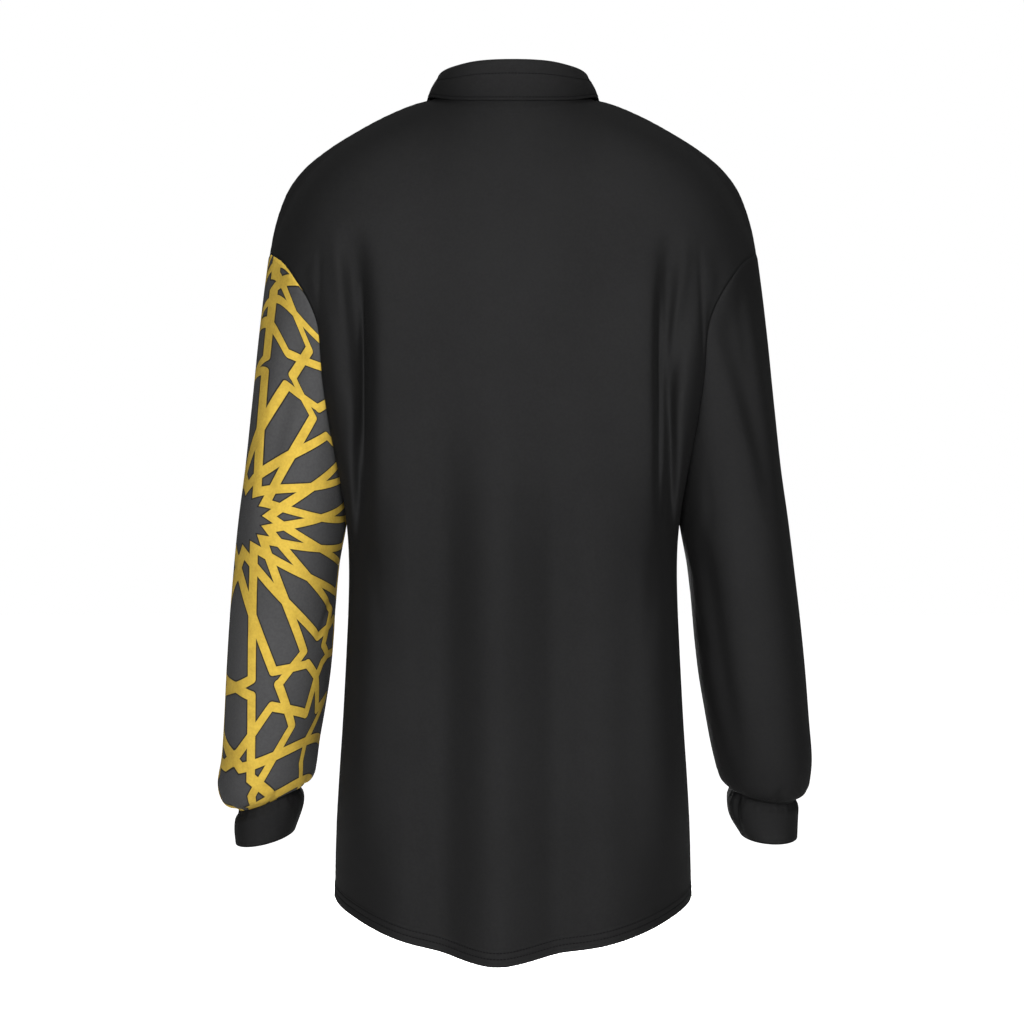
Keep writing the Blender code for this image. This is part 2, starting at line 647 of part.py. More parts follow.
def stand_grid():
    turns = turns_to(STAND_END_TURN)
    return np.array([[stand_point(turn, share) for turn in turns] for share in (0.0, 0.5, 1.0)])


def lifted_off(point, tree, ray, clear):
    """A point moved back along a ray until it is clear of the shirt."""
    away = 0.1
    spot, _, _, distance = tree.ray_cast(Vector(point) + ray * away, -ray)
    if spot is None or distance - away >= clear:
        return point
    return np.array(spot + ray * clear)


def fall_profile(turn, tree):
    """The fall at one angle: up from the stand, over the fold and down to its edge."""
    shape = collar_at(abs(turn))
    out, up = neck_out(abs(turn)), np.array([0.0, 0.0, 1.0])
    base = neck_point(abs(turn)) + out * lap_out(turn)
    top = base - out * shape.lean + up * (shape.stand + STAND_RAISE + FALL_RAISE)
    roll = base + out * (FOLD_RADIUS - shape.lean) + up * (shape.fold - FOLD_RADIUS)
    profile = [top]
    for angle in (180.0, 145.0, 110.0, 75.0, 40.0, 5.0):
        a = math.radians(angle)
        profile.append(roll + FOLD_RADIUS * (out * math.cos(a) + up * math.sin(a)))
    edge = base + out * shape.edge_out - up * shape.edge_drop
    start = profile[-1]
    for share in (0.25, 0.5, 0.75, 1.0):
        point = start + (edge - start) * share
        profile.append(point + out * 0.0015 * math.sin(math.pi * share))
    sideways = math.sin(math.radians(abs(turn)))
    level = math.radians(20.0 + 40.0 * sideways)
    ray = Vector(out * math.cos(level) + up * math.sin(level))
    clear = RIB + FALL_LIFT * (1 + sideways**4)
    for index in range(6, len(profile)):
        profile[index] = lifted_off(profile[index], tree, ray, clear)
    return np.array(profile) * np.array([math.copysign(1.0, turn), 1.0, 1.0])


def fall_grid(tree):
    profiles = [fall_profile(turn, tree) for turn in turns_to(FALL_END_TURN)]
    return np.array(profiles).transpose(1, 0, 2)


def front_spot(tree, x, depth):
    """Point and outward normal of the front panel, at a depth below the neckline."""
    start = Vector((x, -1.0, neck_point(180.0)[2] - depth))
    spot, normal, _, _ = tree.ray_cast(start, Vector((0.0, 1.0, 0.0)))
    return spot, normal if normal.y < 0 else -normal


def placket_grid(tree):
    """The placket strip, made from the front panel's own points, moved out."""
    rows = []
    for depth in np.linspace(PLACKET_LENGTH, 0.002, 11):
        row = []
        for x in np.linspace(-PLACKET_WIDTH / 2, PLACKET_WIDTH / 2, 5):
            spot, normal = front_spot(tree, x, depth)
            row.append(np.array(spot + normal * (PLACKET_LIFT + KNIT)))
        rows.append(row)
    return np.array(rows)


def add_button(name, seat, facing):
    """A turned button with a raised rim."""
    profile = (
        (0.0, 0.0), (BUTTON_RADIUS * 0.86, 0.0), (BUTTON_RADIUS, BUTTON_THICK * 0.45),
        (BUTTON_RADIUS * 0.97, BUTTON_THICK * 0.85), (BUTTON_RADIUS * 0.86, BUTTON_THICK),
        (BUTTON_RADIUS * 0.70, BUTTON_THICK * 0.95), (BUTTON_RADIUS * 0.58, BUTTON_THICK * 0.72),
        (0.0, BUTTON_THICK * 0.70),
    )
    points = [(r, 0.0, z) for r, z in reversed(profile)]
    mesh = bpy.data.meshes.new(name)
    mesh.from_pydata(points, [(i, i + 1) for i in range(len(points) - 1)], [])
    mesh.materials.append(material_of(name, BUTTON_BLACK, 0.35))
    obj = bpy.data.objects.new(name, mesh)
    SHIRT.objects.link(obj)
    turned = obj.modifiers.new("Turned", "SCREW")
    turned.axis = "Z"
    turned.steps = turned.render_steps = 18
    turned.use_merge_vertices = True
    turned.merge_threshold = 0.0001
    turn = Vector(facing).to_track_quat("Z", "Y").to_matrix().to_4x4()
    obj.matrix_world = Matrix.Translation(Vector(seat)) @ turn
    return obj


def seams_of_body(columns):
    """Edges that back and front share: the side seams and, past the neck, the shoulders."""
    middle = columns // 2
    right, left = np.s_[: middle - NECK_COLUMNS + 1], np.s_[middle + NECK_COLUMNS :]
    side = np.s_[: LOWER_ROWS + 1]
    return (
        ((side, 0), (side, 1)),
        ((side, -1), (side, -2)),
        ((-1, right), (-2, right)),
        ((-1, left), (-2, left)),
    )


def add_shirt():
    """Body, sleeves and cuffs, parted by a gap along every seam."""
    back, front = body_grid(BACK), body_grid(FRONT)
    facing = {BACK: facing_of(back), FRONT: facing_of(front)}
    body = {BACK: back, FRONT: front}
    moves = {face: np.zeros(back.shape) for face in body}
    for edge, inside in seams_of_body(back.shape[1]):
        step = half_gap(back, edge, inside, front, edge, inside)
        moves[BACK][edge] += step
        moves[FRONT][edge] -= step
        shared = share_normals(facing[BACK][edge], facing[FRONT][edge])
        facing[BACK][edge], facing[FRONT][edge] = shared
    climb = np.arange(UPPER_ROWS + 1)
    turns = {BACK: UPPER_ROWS - climb, FRONT: (UPPER_ROWS + climb) % (2 * UPPER_ROWS)}
    for arm, side, colour in ((LEFT, "left", PRINT_GREY), (RIGHT, "right", BLACK)):
        sleeve = sleeve_grid(arm) * np.array([arm, 1.0, 1.0])
        sleeve_facing = facing_of(sleeve, closed=True)
        sleeve_moves = np.zeros(sleeve.shape)
        end, inside = (-1, -2) if arm == LEFT else (0, 1)
        for face in (BACK, FRONT):
            armhole = (LOWER_ROWS + climb, end)
            next_in = (LOWER_ROWS + climb, inside)
            step = half_gap(body[face], armhole, next_in, sleeve, (0, turns[face]), (1, turns[face]))
            moves[face][armhole] += step
            sleeve_moves[0, turns[face]] = -step
            shared = share_normals(facing[face][armhole], sleeve_facing[0, turns[face]])
            facing[face][armhole], sleeve_facing[0, turns[face]] = shared
        cloth(f"sleeve_{side}", sleeve + sleeve_moves, sleeve_facing, KNIT, True, colour)
        cuff = cuff_grid(arm) * np.array([arm, 1.0, 1.0])
        cloth(f"cuff_{side}", cuff, facing_of(cuff, closed=True), RIB, True)
    cloth("back", back + moves[BACK], facing[BACK], KNIT)
    cloth("front", front + moves[FRONT], facing[FRONT], KNIT)
    return tree_of(back, front)


def add_collar(tree):
    stand, fall = stand_grid(), fall_grid(tree)
    cloth("collar_stand", stand, facing_of(stand), RIB)
    cloth("collar_fall", fall, facing_of(fall), RIB)
    rise = unit(stand_point(180.0, 1.0) - stand_point(180.0, 0.0))
    out = neck_out(180.0)
    facing = unit(out - rise * (out @ rise))
    add_button("button_1", stand_point(180.0, 0.5) + facing * BUTTON_LIFT, facing)


def add_front_opening(tree):
    placket = placket_grid(tree)
    cloth("placket", placket, facing_of(placket), KNIT)
    for number, depth in enumerate(BUTTON_DEPTHS, start=2):
        spot, normal = front_spot(tree, 0.0, depth)
        lift = PLACKET_LIFT + KNIT + BUTTON_LIFT
        add_button(f"button_{number}", spot + normal * lift, normal)


clear_scene()
SHIRT = bpy.data.collections.new("polo_shirt")
bpy.context.scene.collection.children.link(SHIRT)
shirt_tree = add_shirt()
add_collar(shirt_tree)
add_front_opening(shirt_tree)
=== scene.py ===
import math
from collections import namedtuple

import bmesh
import bpy
import numpy as np
from mathutils import Matrix, Vector
from mathutils.bvhtree import BVHTree


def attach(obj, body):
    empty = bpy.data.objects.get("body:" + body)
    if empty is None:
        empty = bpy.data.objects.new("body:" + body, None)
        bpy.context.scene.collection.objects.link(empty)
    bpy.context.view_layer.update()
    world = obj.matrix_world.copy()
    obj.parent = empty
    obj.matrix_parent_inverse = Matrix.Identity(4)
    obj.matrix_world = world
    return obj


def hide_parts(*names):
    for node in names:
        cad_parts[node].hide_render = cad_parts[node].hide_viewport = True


# Long-sleeved polo shirt in the shape it has when worn, seen from behind. Metres, +Z up,
# the front faces -Y and the wearer's left arm, with the printed sleeve, is at +X.
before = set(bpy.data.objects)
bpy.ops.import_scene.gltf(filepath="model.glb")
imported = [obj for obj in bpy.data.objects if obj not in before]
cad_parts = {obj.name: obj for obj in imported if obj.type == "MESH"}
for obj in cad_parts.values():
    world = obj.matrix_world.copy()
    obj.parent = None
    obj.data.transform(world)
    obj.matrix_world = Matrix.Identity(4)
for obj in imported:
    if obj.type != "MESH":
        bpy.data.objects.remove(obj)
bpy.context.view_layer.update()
print("frame loaded:", len(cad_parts), "nodes")

behind, before = 1, -1  # sign of Y for each half of the body
leftArm, rightArm = 1, -1  # sign of X for each arm
sideNames = {leftArm: "left", rightArm: "right"}
cameraPlace = (0.001, 1.815, -0.392)
shirt, stitches = {}, {}  # the cloth pieces, and the sewing on them


def through(keys, values, at):  # a smooth curve through the values, read at other places
    keys = np.asarray(keys, float)
    values = np.asarray(values, float)
    at = np.atleast_1d(np.asarray(at, float))
    slopes = np.gradient(values, keys, axis=0)
    low = np.clip(np.searchsorted(keys, at) - 1, 0, len(keys) - 2)
    span = keys[low + 1] - keys[low]
    t = (at - keys[low]) / span
    if values.ndim > 1:
        t, span = t[:, None], span[:, None]
    return (
        (2 * t**3 - 3 * t**2 + 1) * values[low]
        + (t**3 - 2 * t**2 + t) * span * slopes[low]
        + (3 * t**2 - 2 * t**3) * values[low + 1]
        + (t**3 - t**2) * span * slopes[low + 1]
    )


def runOf(points):
    steps = np.linalg.norm(np.diff(points, axis=0), axis=1)
    return np.concatenate([[0.0], np.cumsum(steps)])


# Even shares of a smooth line's length, without some points at both of its ends.
def evenly(points, shares, skipped=0):
    points = np.asarray(points, float)
    run = runOf(points)
    dense = through(run, points, np.linspace(run[skipped], run[-1 - skipped], 400))
    run = runOf(dense)
    return through(run, dense, np.asarray(shares) * run[-1])


def smoothStep(t):
    t = np.clip(t, 0.0, 1.0)
    return t * t * (3 - 2 * t)


def columnAt(table, name, z):  # one column of a table, between its rows
    rows = sorted(table)
    return through([row.z for row in rows], [getattr(row, name) for row in rows], z)


def splitEach(marks, parts):  # every gap in a list of places, cut into equal parts
    marks = np.asarray(marks, float)
    return np.interp(np.arange((len(marks) - 1) * parts + 1) / parts, np.arange(len(marks)), marks)


def bell(distance, width):
    return np.exp(-((distance / width) ** 2))


def unit(vectors):
    return vectors / np.maximum(np.linalg.norm(vectors, axis=-1, keepdims=True), 1e-9)


def runsAcross(grid):  # distance along each row from its first column
    steps = np.linalg.norm(np.diff(grid, axis=1), axis=2)
    return np.concatenate([np.zeros((len(grid), 1)), np.cumsum(steps, axis=1)], axis=1)


def runsAlong(grid):  # distance along each column from its first row
    return runsAcross(grid.transpose(1, 0, 2)).T


def wander(places, wavelength, seed):  # a soft, uneven wave between -1 and 1
    chance = np.random.default_rng(seed)
    waves = (1.0, 0.61, 0.37)  # length and height of each, as shares of the first
    total = np.zeros(np.shape(places))
    for share in waves:
        phase = chance.uniform(0, 2 * math.pi)
        total = total + share * np.sin(2 * math.pi * places / (wavelength * share) + phase)
    return total / sum(waves)


def relax(grid, passes):  # the inner points drawn towards their neighbours
    for _ in range(passes):
        inner = (grid[:-2, 1:-1] + grid[2:, 1:-1] + grid[1:-1, :-2] + grid[1:-1, 2:]) / 4
        grid[1:-1, 1:-1] = (grid[1:-1, 1:-1] + inner) / 2
    return grid


def normalsOf(grid, closed=False):
    along = np.gradient(grid, axis=0)
    if closed:
        across = (np.roll(grid, -1, axis=1) - np.roll(grid, 1, axis=1)) / 2
    else:
        across = np.gradient(grid, axis=1)
    return unit(np.cross(across, along))


def facingOf(grid, closed=False):  # normals that face away from the body
    normals = normalsOf(grid, closed)
    middle = grid.mean(axis=1, keepdims=True) if closed else 0.0
    away = (grid - middle) * (1.0 if closed else np.array([1.0, 1.0, 0.0]))
    return normals * np.sign((normals * away).sum())


def newGroup(name, inputs, outputs):  # a node group, with the sockets inside it
    group = bpy.data.node_groups.new(name, "ShaderNodeTree")
    for direction, sockets in (("INPUT", inputs), ("OUTPUT", outputs)):
        for label, kind in sockets.items():
            group.interface.new_socket(label, in_out=direction, socket_type="NodeSocket" + kind)
    given, result = group.nodes.new("NodeGroupInput"), group.nodes.new("NodeGroupOutput")
    return group, given.outputs, result.inputs


def addNode(tree, kind, inputs, **settings):  # one shader node, with values or links on its sockets
    node = tree.nodes.new("ShaderNode" + kind)
    for name, value in settings.items():
        setattr(node, name, value)
    for key, value in inputs.items():
        if isinstance(value, bpy.types.NodeSocket):
            tree.links.new(value, node.inputs[key])
        else:
            node.inputs[key].default_value = value
    return node.outputs


def calc(tree, operation, *values):
    return addNode(tree, "Math", dict(enumerate(values)), operation=operation)[0]


def vector(tree, operation, *values):
    return addNode(tree, "VectorMath", dict(enumerate(values)), operation=operation)


def ramp(tree, value, low, high, start=0.0, end=1.0):  # smooth step from start to end
    inputs = {"Value": value, "From Min": low, "From Max": high, "To Min": start, "To Max": end}
    return addNode(tree, "MapRange", inputs, interpolation_type="SMOOTHSTEP")[0]


def mixed(tree, factor, first, second):
    inputs = {0: factor, 6: first, 7: second}
    return addNode(tree, "Mix", inputs, data_type="RGBA")[2]


def joined(tree, x, y):
    return addNode(tree, "CombineXYZ", {0: x, 1: y})[0]


def strapDistanceGroup():  # distance from a point to the line between two others
    inputs = {"Point": "Vector", "Start": "Vector", "End": "Vector"}
    group, given, result = newGroup("strapDistance", inputs, {"Distance": "Float"})
    toPoint = vector(group, "SUBTRACT", given["Point"], given["Start"])[0]
    line = vector(group, "SUBTRACT", given["End"], given["Start"])[0]
    over = vector(group, "DOT_PRODUCT", toPoint, line)["Value"]
    whole = vector(group, "DOT_PRODUCT", line, line)["Value"]
    share = addNode(group, "Math", {0: over, 1: whole}, operation="DIVIDE", use_clamp=True)[0]
    foot = addNode(group, "VectorMath", {0: line, "Scale": share}, operation="SCALE")[0]
    gap = vector(group, "SUBTRACT", toPoint, foot)[0]
    group.links.new(vector(group, "LENGTH", gap)["Value"], result["Distance"])
    return group


# Star lattice of the left sleeve, in centimetres on the cloth: a traditional strapwork.
# Big stars stand at the corners of a square net and small ones between them. The straps are
# drawn for one half of a star's spoke and one eighth of a square, and folding repeats them.
latticeLook = {
    "net": 25.6,  # half the side of the square net
    "bigSpokes": 16,
    "smallSpokes": 8,
    "halfWidth": 0.455,  # of a strap
    "edge": 0.06,  # dark line along both sides of a strap
    "soft": 0.03,
    "past": 1.2,  # how far a strap runs on past a mirror line, so that its corner stays sharp
    # Straps of a big star: beside and along a spoke. The marks say which ends run on.
    "big": (
        ((0, 4.99), (1.91, 9.61), 1, 1), ((0, 4.99), (0.671, 3.374), 1, 1),
        ((1.91, 9.61), (1.91, 15.81), 1, 0), ((1.91, 15.81), (0, 16.6), 0, 1),
        ((0, 16.6), (1.91, 17.39), 1, 0),
    ),
    "small": (((0, 2.70), (1.91, 4.61), 1, 0), ((0, 2.70), (0.791, 1.91), 1, 1)),
    "between": (
        ((1.91, 17.39), (1.91, 20.99), 0, 0), ((1.91, 20.99), (4.13, 18.77), 0, 0),
        ((4.61, 23.69), (6.83, 21.47), 0, 0), ((4.13, 18.77), (6.04, 19.56), 0, 0),
        ((6.83, 21.47), (6.04, 19.56), 0, 0), ((4.856, 16.71), (6.04, 19.56), 0, 0),
        ((8.89, 20.74), (6.04, 19.56), 0, 0), ((8.385, 15.25), (10.05, 17.05), 0, 0),
        ((10.05, 17.05), (8.89, 20.74), 0, 0), ((10.05, 17.05), (11.2, 20.74), 0, 0),
        ((4.61, 23.69), (16, 23.69), 0, 0), ((9.6, 23.69), (14.06, 19.56), 0, 0),
        ((11.2, 20.74), (14.06, 19.56), 0, 0), ((10.95, 13.65), (12.25, 14.95), 0, 0),
        ((12.25, 14.95), (11.0, 15.6), 0, 0), ((11.0, 15.6), (10.05, 17.05), 0, 0),
        ((12.25, 14.95), (16.5, 14.95), 0, 0), ((9.6, 23.69), (9.0, 25.6), 0, 1),
    ),
}


def nearestStrap(tree, point, straps, distance):  # distance to the nearest of several straps
    nearest = None
    for start, end, startRuns, endRuns in straps:
        way = unit(np.subtract(end, start)) * latticeLook["past"]
        inputs = {
            "Point": point,
            "Start": (*(start - way * startRuns), 0.0),
            "End": (*(end + way * endRuns), 0.0),
        }
        found = addNode(tree, "Group", inputs, node_tree=distance)["Distance"]
        nearest = found if nearest is None else calc(tree, "MINIMUM", nearest, found)
    return nearest


def spokeFold(tree, x, y, spokes):  # place beside and along the nearest of a star's spokes
    turn = calc(tree, "PINGPONG", calc(tree, "ARCTAN2", x, y), math.pi / spokes)
    reach = vector(tree, "LENGTH", joined(tree, x, y))["Value"]
    beside = calc(tree, "MULTIPLY", reach, calc(tree, "SINE", turn))
    return joined(tree, beside, calc(tree, "MULTIPLY", reach, calc(tree, "COSINE", turn)))


def latticeGroup():
    outputs = {"Strap": "Float", "Edge": "Float"}
    group, given, result = newGroup("starLattice", {"Place": "Vector"}, outputs)
    distance = strapDistanceGroup()
    net = latticeLook["net"]
    place = addNode(group, "SeparateXYZ", {0: given["Place"]})
    x, y = (calc(group, "PINGPONG", place[axis], net) for axis in (0, 1))
    low, high = calc(group, "MINIMUM", x, y), calc(group, "MAXIMUM", x, y)
    fromSmall = calc(group, "SUBTRACT", net, high)
    folded = {
        "between": joined(group, low, high),
        "big": spokeFold(group, low, high, latticeLook["bigSpokes"]),
        "small": spokeFold(group, low, fromSmall, latticeLook["smallSpokes"]),
    }
    nearest = None
    for name, point in folded.items():
        found = nearestStrap(group, point, latticeLook[name], distance)
        nearest = found if nearest is None else calc(group, "MINIMUM", nearest, found)
    half, edge, soft = latticeLook["halfWidth"], latticeLook["edge"], latticeLook["soft"]
    group.links.new(ramp(group, nearest, half - soft, half + soft, 1.0, 0.0), result["Strap"])
    fromEdge = calc(group, "ABSOLUTE", calc(group, "SUBTRACT", nearest, half + edge))
    group.links.new(ramp(group, fromEdge, edge * 0.4, edge * 1.6, 1.0, 0.0), result["Edge"])
    return group


def knitGroup():  # rows of small loops, from places on the cloth in metres
    group, given, result = newGroup(
        "knitLoops", {"Place": "Vector", "Wale": "Float", "Course": "Float"}, {"Height": "Float"}
    )
    place = addNode(group, "SeparateXYZ", {0: given["Place"]})
    leg = calc(group, "PINGPONG", calc(group, "DIVIDE", place[0], given["Wale"]), 0.5)
    slant = calc(group, "MULTIPLY", leg, 1.3)  # the legs of a loop lean to its middle
    course = calc(group, "ADD", calc(group, "DIVIDE", place[1], given["Course"]), slant)
    rib = calc(group, "SINE", calc(group, "MULTIPLY", leg, 2 * math.pi))
    loop = calc(group, "ABSOLUTE", calc(group, "SINE", calc(group, "MULTIPLY", course, math.pi)))
    group.links.new(calc(group, "MULTIPLY", rib, calc(group, "ADD", 0.4, loop)), result["Height"])
    return group


def clothToneGroup():  # slow and fine unevenness of dyed cotton, round 1
    group, given, result = newGroup("clothTone", {"Place": "Vector"}, {"Tone": "Float"})
    tones = []
    for scale, detail, least, most in clothLook["tones"]:
        inputs = {"Vector": given["Place"], "Scale": scale, "Detail": detail}
        tones.append(ramp(group, addNode(group, "TexNoise", inputs)[0], 0.3, 0.7, least, most))
    group.links.new(calc(group, "ADD", *tones), result["Tone"])
    return group


knitLook = namedtuple("knitLook", "colour wale course bump turned")
clothLook = {
    # Wale and course are the width and height of a loop in metres, bump how far it stands
    # out, and turned how much of its colour painted shade leaves where it is seen from the side.
    "knits": {
        "blackKnit": knitLook((0.0104, 0.0104, 0.0106), 0.0008, 0.0006, 0.00010, 0.42),
        # A copy of blackKnit with deeper painted shade, darkening the sleeve's sides that turn away
        # from the camera.
        "sleeveKnit": knitLook((0.0104, 0.0104, 0.0106), 0.0008, 0.0006, 0.00010, 0.34),
        "cuffKnit": knitLook((0.0106, 0.0106, 0.0108), 0.0010, 0.0007, 0.00012, 0.36),
        "collarKnit": knitLook((0.0100, 0.0100, 0.0102), 0.0009, 0.0006, 0.00012, 0.58),
        "printedKnit": knitLook((0.046, 0.046, 0.047), 0.0008, 0.0006, 0.00010, 0.78),
    },
    "roughness": 0.86,
    "shine": 0.08,
    "sheen": 0.006,
    "sheenRoughness": 0.5,
    "bumpStrength": 0.6,
    "turnedEnd": 0.55,  # where the painted shade, on cloth seen from the side, is darkest
    # Noise scale, detail, least and most, of the slow and of the fine unevenness.
    "tones": ((7.0, 3.0, 0.92, 1.06), (420.0, 2.0, -0.07, 0.07)),
    "gold": (0.455, 0.312, 0.046),
    "goldDark": (0.370, 0.248, 0.034),
    "patches": (95.0, 4.0),  # noise scale and detail of the darker gold
    "mostPatched": 0.75,
    "strapEdge": (0.014, 0.013, 0.012),
}
knitLoops, clothTone, starLattice = knitGroup(), clothToneGroup(), latticeGroup()


def printedColour(tree, ground, local):  # gold straps, worn in patches, with a dark edge
    place = addNode(tree, "UVMap", {}, uv_map="print")[0]
    lattice = addNode(tree, "Group", {"Place": place}, node_tree=starLattice)
    scale, detail = clothLook["patches"]
    patches = addNode(tree, "TexNoise", {"Vector": local, "Scale": scale, "Detail": detail})[0]
    worn = ramp(tree, patches, 0.35, 0.75, 0.0, clothLook["mostPatched"])
    names = ("gold", "goldDark", "strapEdge")
    gold, goldDark, strapEdge = ((*clothLook[name], 1.0) for name in names)
    strapped = mixed(tree, lattice["Strap"], (*ground, 1.0), mixed(tree, worn, gold, goldDark))
    return mixed(tree, lattice["Edge"], strapped, strapEdge)


def newMaterial(name):  # with its tree, its surface's sockets and the place on the object
    material = bpy.data.materials.new(name)
    material.use_nodes = True
    tree = material.node_tree
    local = addNode(tree, "TexCoord", {})["Object"]
    return material, tree, tree.nodes["Principled BSDF"].inputs, local


def knitMaterial(name):  # dark cotton with knitted loops, and painted shade that darkens it where it turns away
    look = clothLook["knits"][name]
    material, tree, surface, local = newMaterial(name)
    colour = printedColour(tree, look.colour, local) if name == "printedKnit" else look.colour
    tone = addNode(tree, "Group", {"Place": local}, node_tree=clothTone)["Tone"]
    # Painted shade: the colour darkens where the surface turns away from the camera, in place of
    # light falling off.
    turned = addNode(tree, "LayerWeight", {"Blend": 0.5})["Facing"]
    shade = ramp(tree, turned, 0.0, clothLook["turnedEnd"], 1.0, look.turned)
    shade = calc(tree, "MULTIPLY", shade, tone)
    shaded = addNode(tree, "VectorMath", {0: colour, "Scale": shade}, operation="SCALE")[0]
    tree.links.new(shaded, surface["Base Color"])
    weave = addNode(tree, "UVMap", {}, uv_map="weave")[0]
    inputs = {"Place": weave, "Wale": look.wale, "Course": look.course}
    loops = addNode(tree, "Group", inputs, node_tree=knitLoops)["Height"]
    inputs = {"Height": loops, "Distance": look.bump, "Strength": clothLook["bumpStrength"]}
    tree.links.new(addNode(tree, "Bump", inputs)[0], surface["Normal"])
    surface["Roughness"].default_value = clothLook["roughness"]
    surface["Specular IOR Level"].default_value = clothLook["shine"]
    surface["Sheen Weight"].default_value = clothLook["sheen"]
    surface["Sheen Roughness"].default_value = clothLook["sheenRoughness"]
    return material


smoothLook = namedtuple("smoothLook", "colour roughness speckle shine")
smoothLooks = {
    "button": smoothLook((0.012, 0.012, 0.013), 0.32, 300.0, 0.5),
    # The thread's dark colour is darkened further, as painted shade along the lines of stitches.
    "thread": smoothLook((0.0035, 0.0035, 0.0037), 0.9, 900.0, 0.02),
    "floor": smoothLook((0.80, 0.80, 0.80), 0.8, 3.0, 0.3),
}


def smoothMaterial(name):  # slightly mottled in colour and roughness
    look = smoothLooks[name]
    material, tree, surface, local = newMaterial(name)
    noise = addNode(tree, "TexNoise", {"Vector": local, "Scale": look.speckle, "Detail": 3.0})[0]
    lighter = [1.6 * part for part in look.colour]
    tree.links.new(mixed(tree, noise, (*look.colour, 1.0), (*lighter, 1.0)), surface["Base Color"])
    rough = ramp(tree, noise, 0.3, 0.7, look.roughness - 0.06, look.roughness + 0.06)
    tree.links.new(rough, surface["Roughness"])
    surface["Specular IOR Level"].default_value = look.shine
    return material


materials = {name: knitMaterial(name) for name in clothLook["knits"]}
materials.update({name: smoothMaterial(name) for name in smoothLooks})
print("materials:", len(materials))


def showObject(name, mesh, material):
    mesh.materials.clear()
    mesh.materials.append(materials[material])
    mesh.shade_smooth()
    obj = bpy.data.objects.new(name, mesh)
    bpy.context.scene.collection.objects.link(obj)
    return obj


def clothSheet(name, grid, wall, material, prints=None):  # a thin shell on a grid of points
    if (normalsOf(grid) * facingOf(grid)).sum() < 0:
        grid = grid[:, ::-1]
        prints = prints[:, ::-1] if prints is not None else None
    rows, columns = grid.shape[:2]
    bm = bmesh.new()
    bmesh.ops.create_grid(bm, x_segments=columns - 1, y_segments=rows - 1, size=1.0)
    mesh = bpy.data.meshes.new(name)
    bm.to_mesh(mesh)
    bm.free()
    mesh.vertices.foreach_set("co", grid.reshape(-1).astype(np.float32))
    corners = np.zeros(len(mesh.loops), int)
    mesh.loops.foreach_get("vertex_index", corners)
    weave = np.stack([runsAcross(grid), runsAlong(grid)], axis=-1)
    for layer, places in (("weave", weave), ("print", prints)):
        if places is not None:
            places = places.reshape(-1, 2)[corners].astype(np.float32)
            mesh.uv_layers.new(name=layer).data.foreach_set("uv", places.reshape(-1))
    obj = showObject(name, mesh, material)
    shell = obj.modifiers.new("wall", "SOLIDIFY")
    shell.thickness = wall
    shell.offset = -1.0
    mesh.update()
    shirt[name] = obj


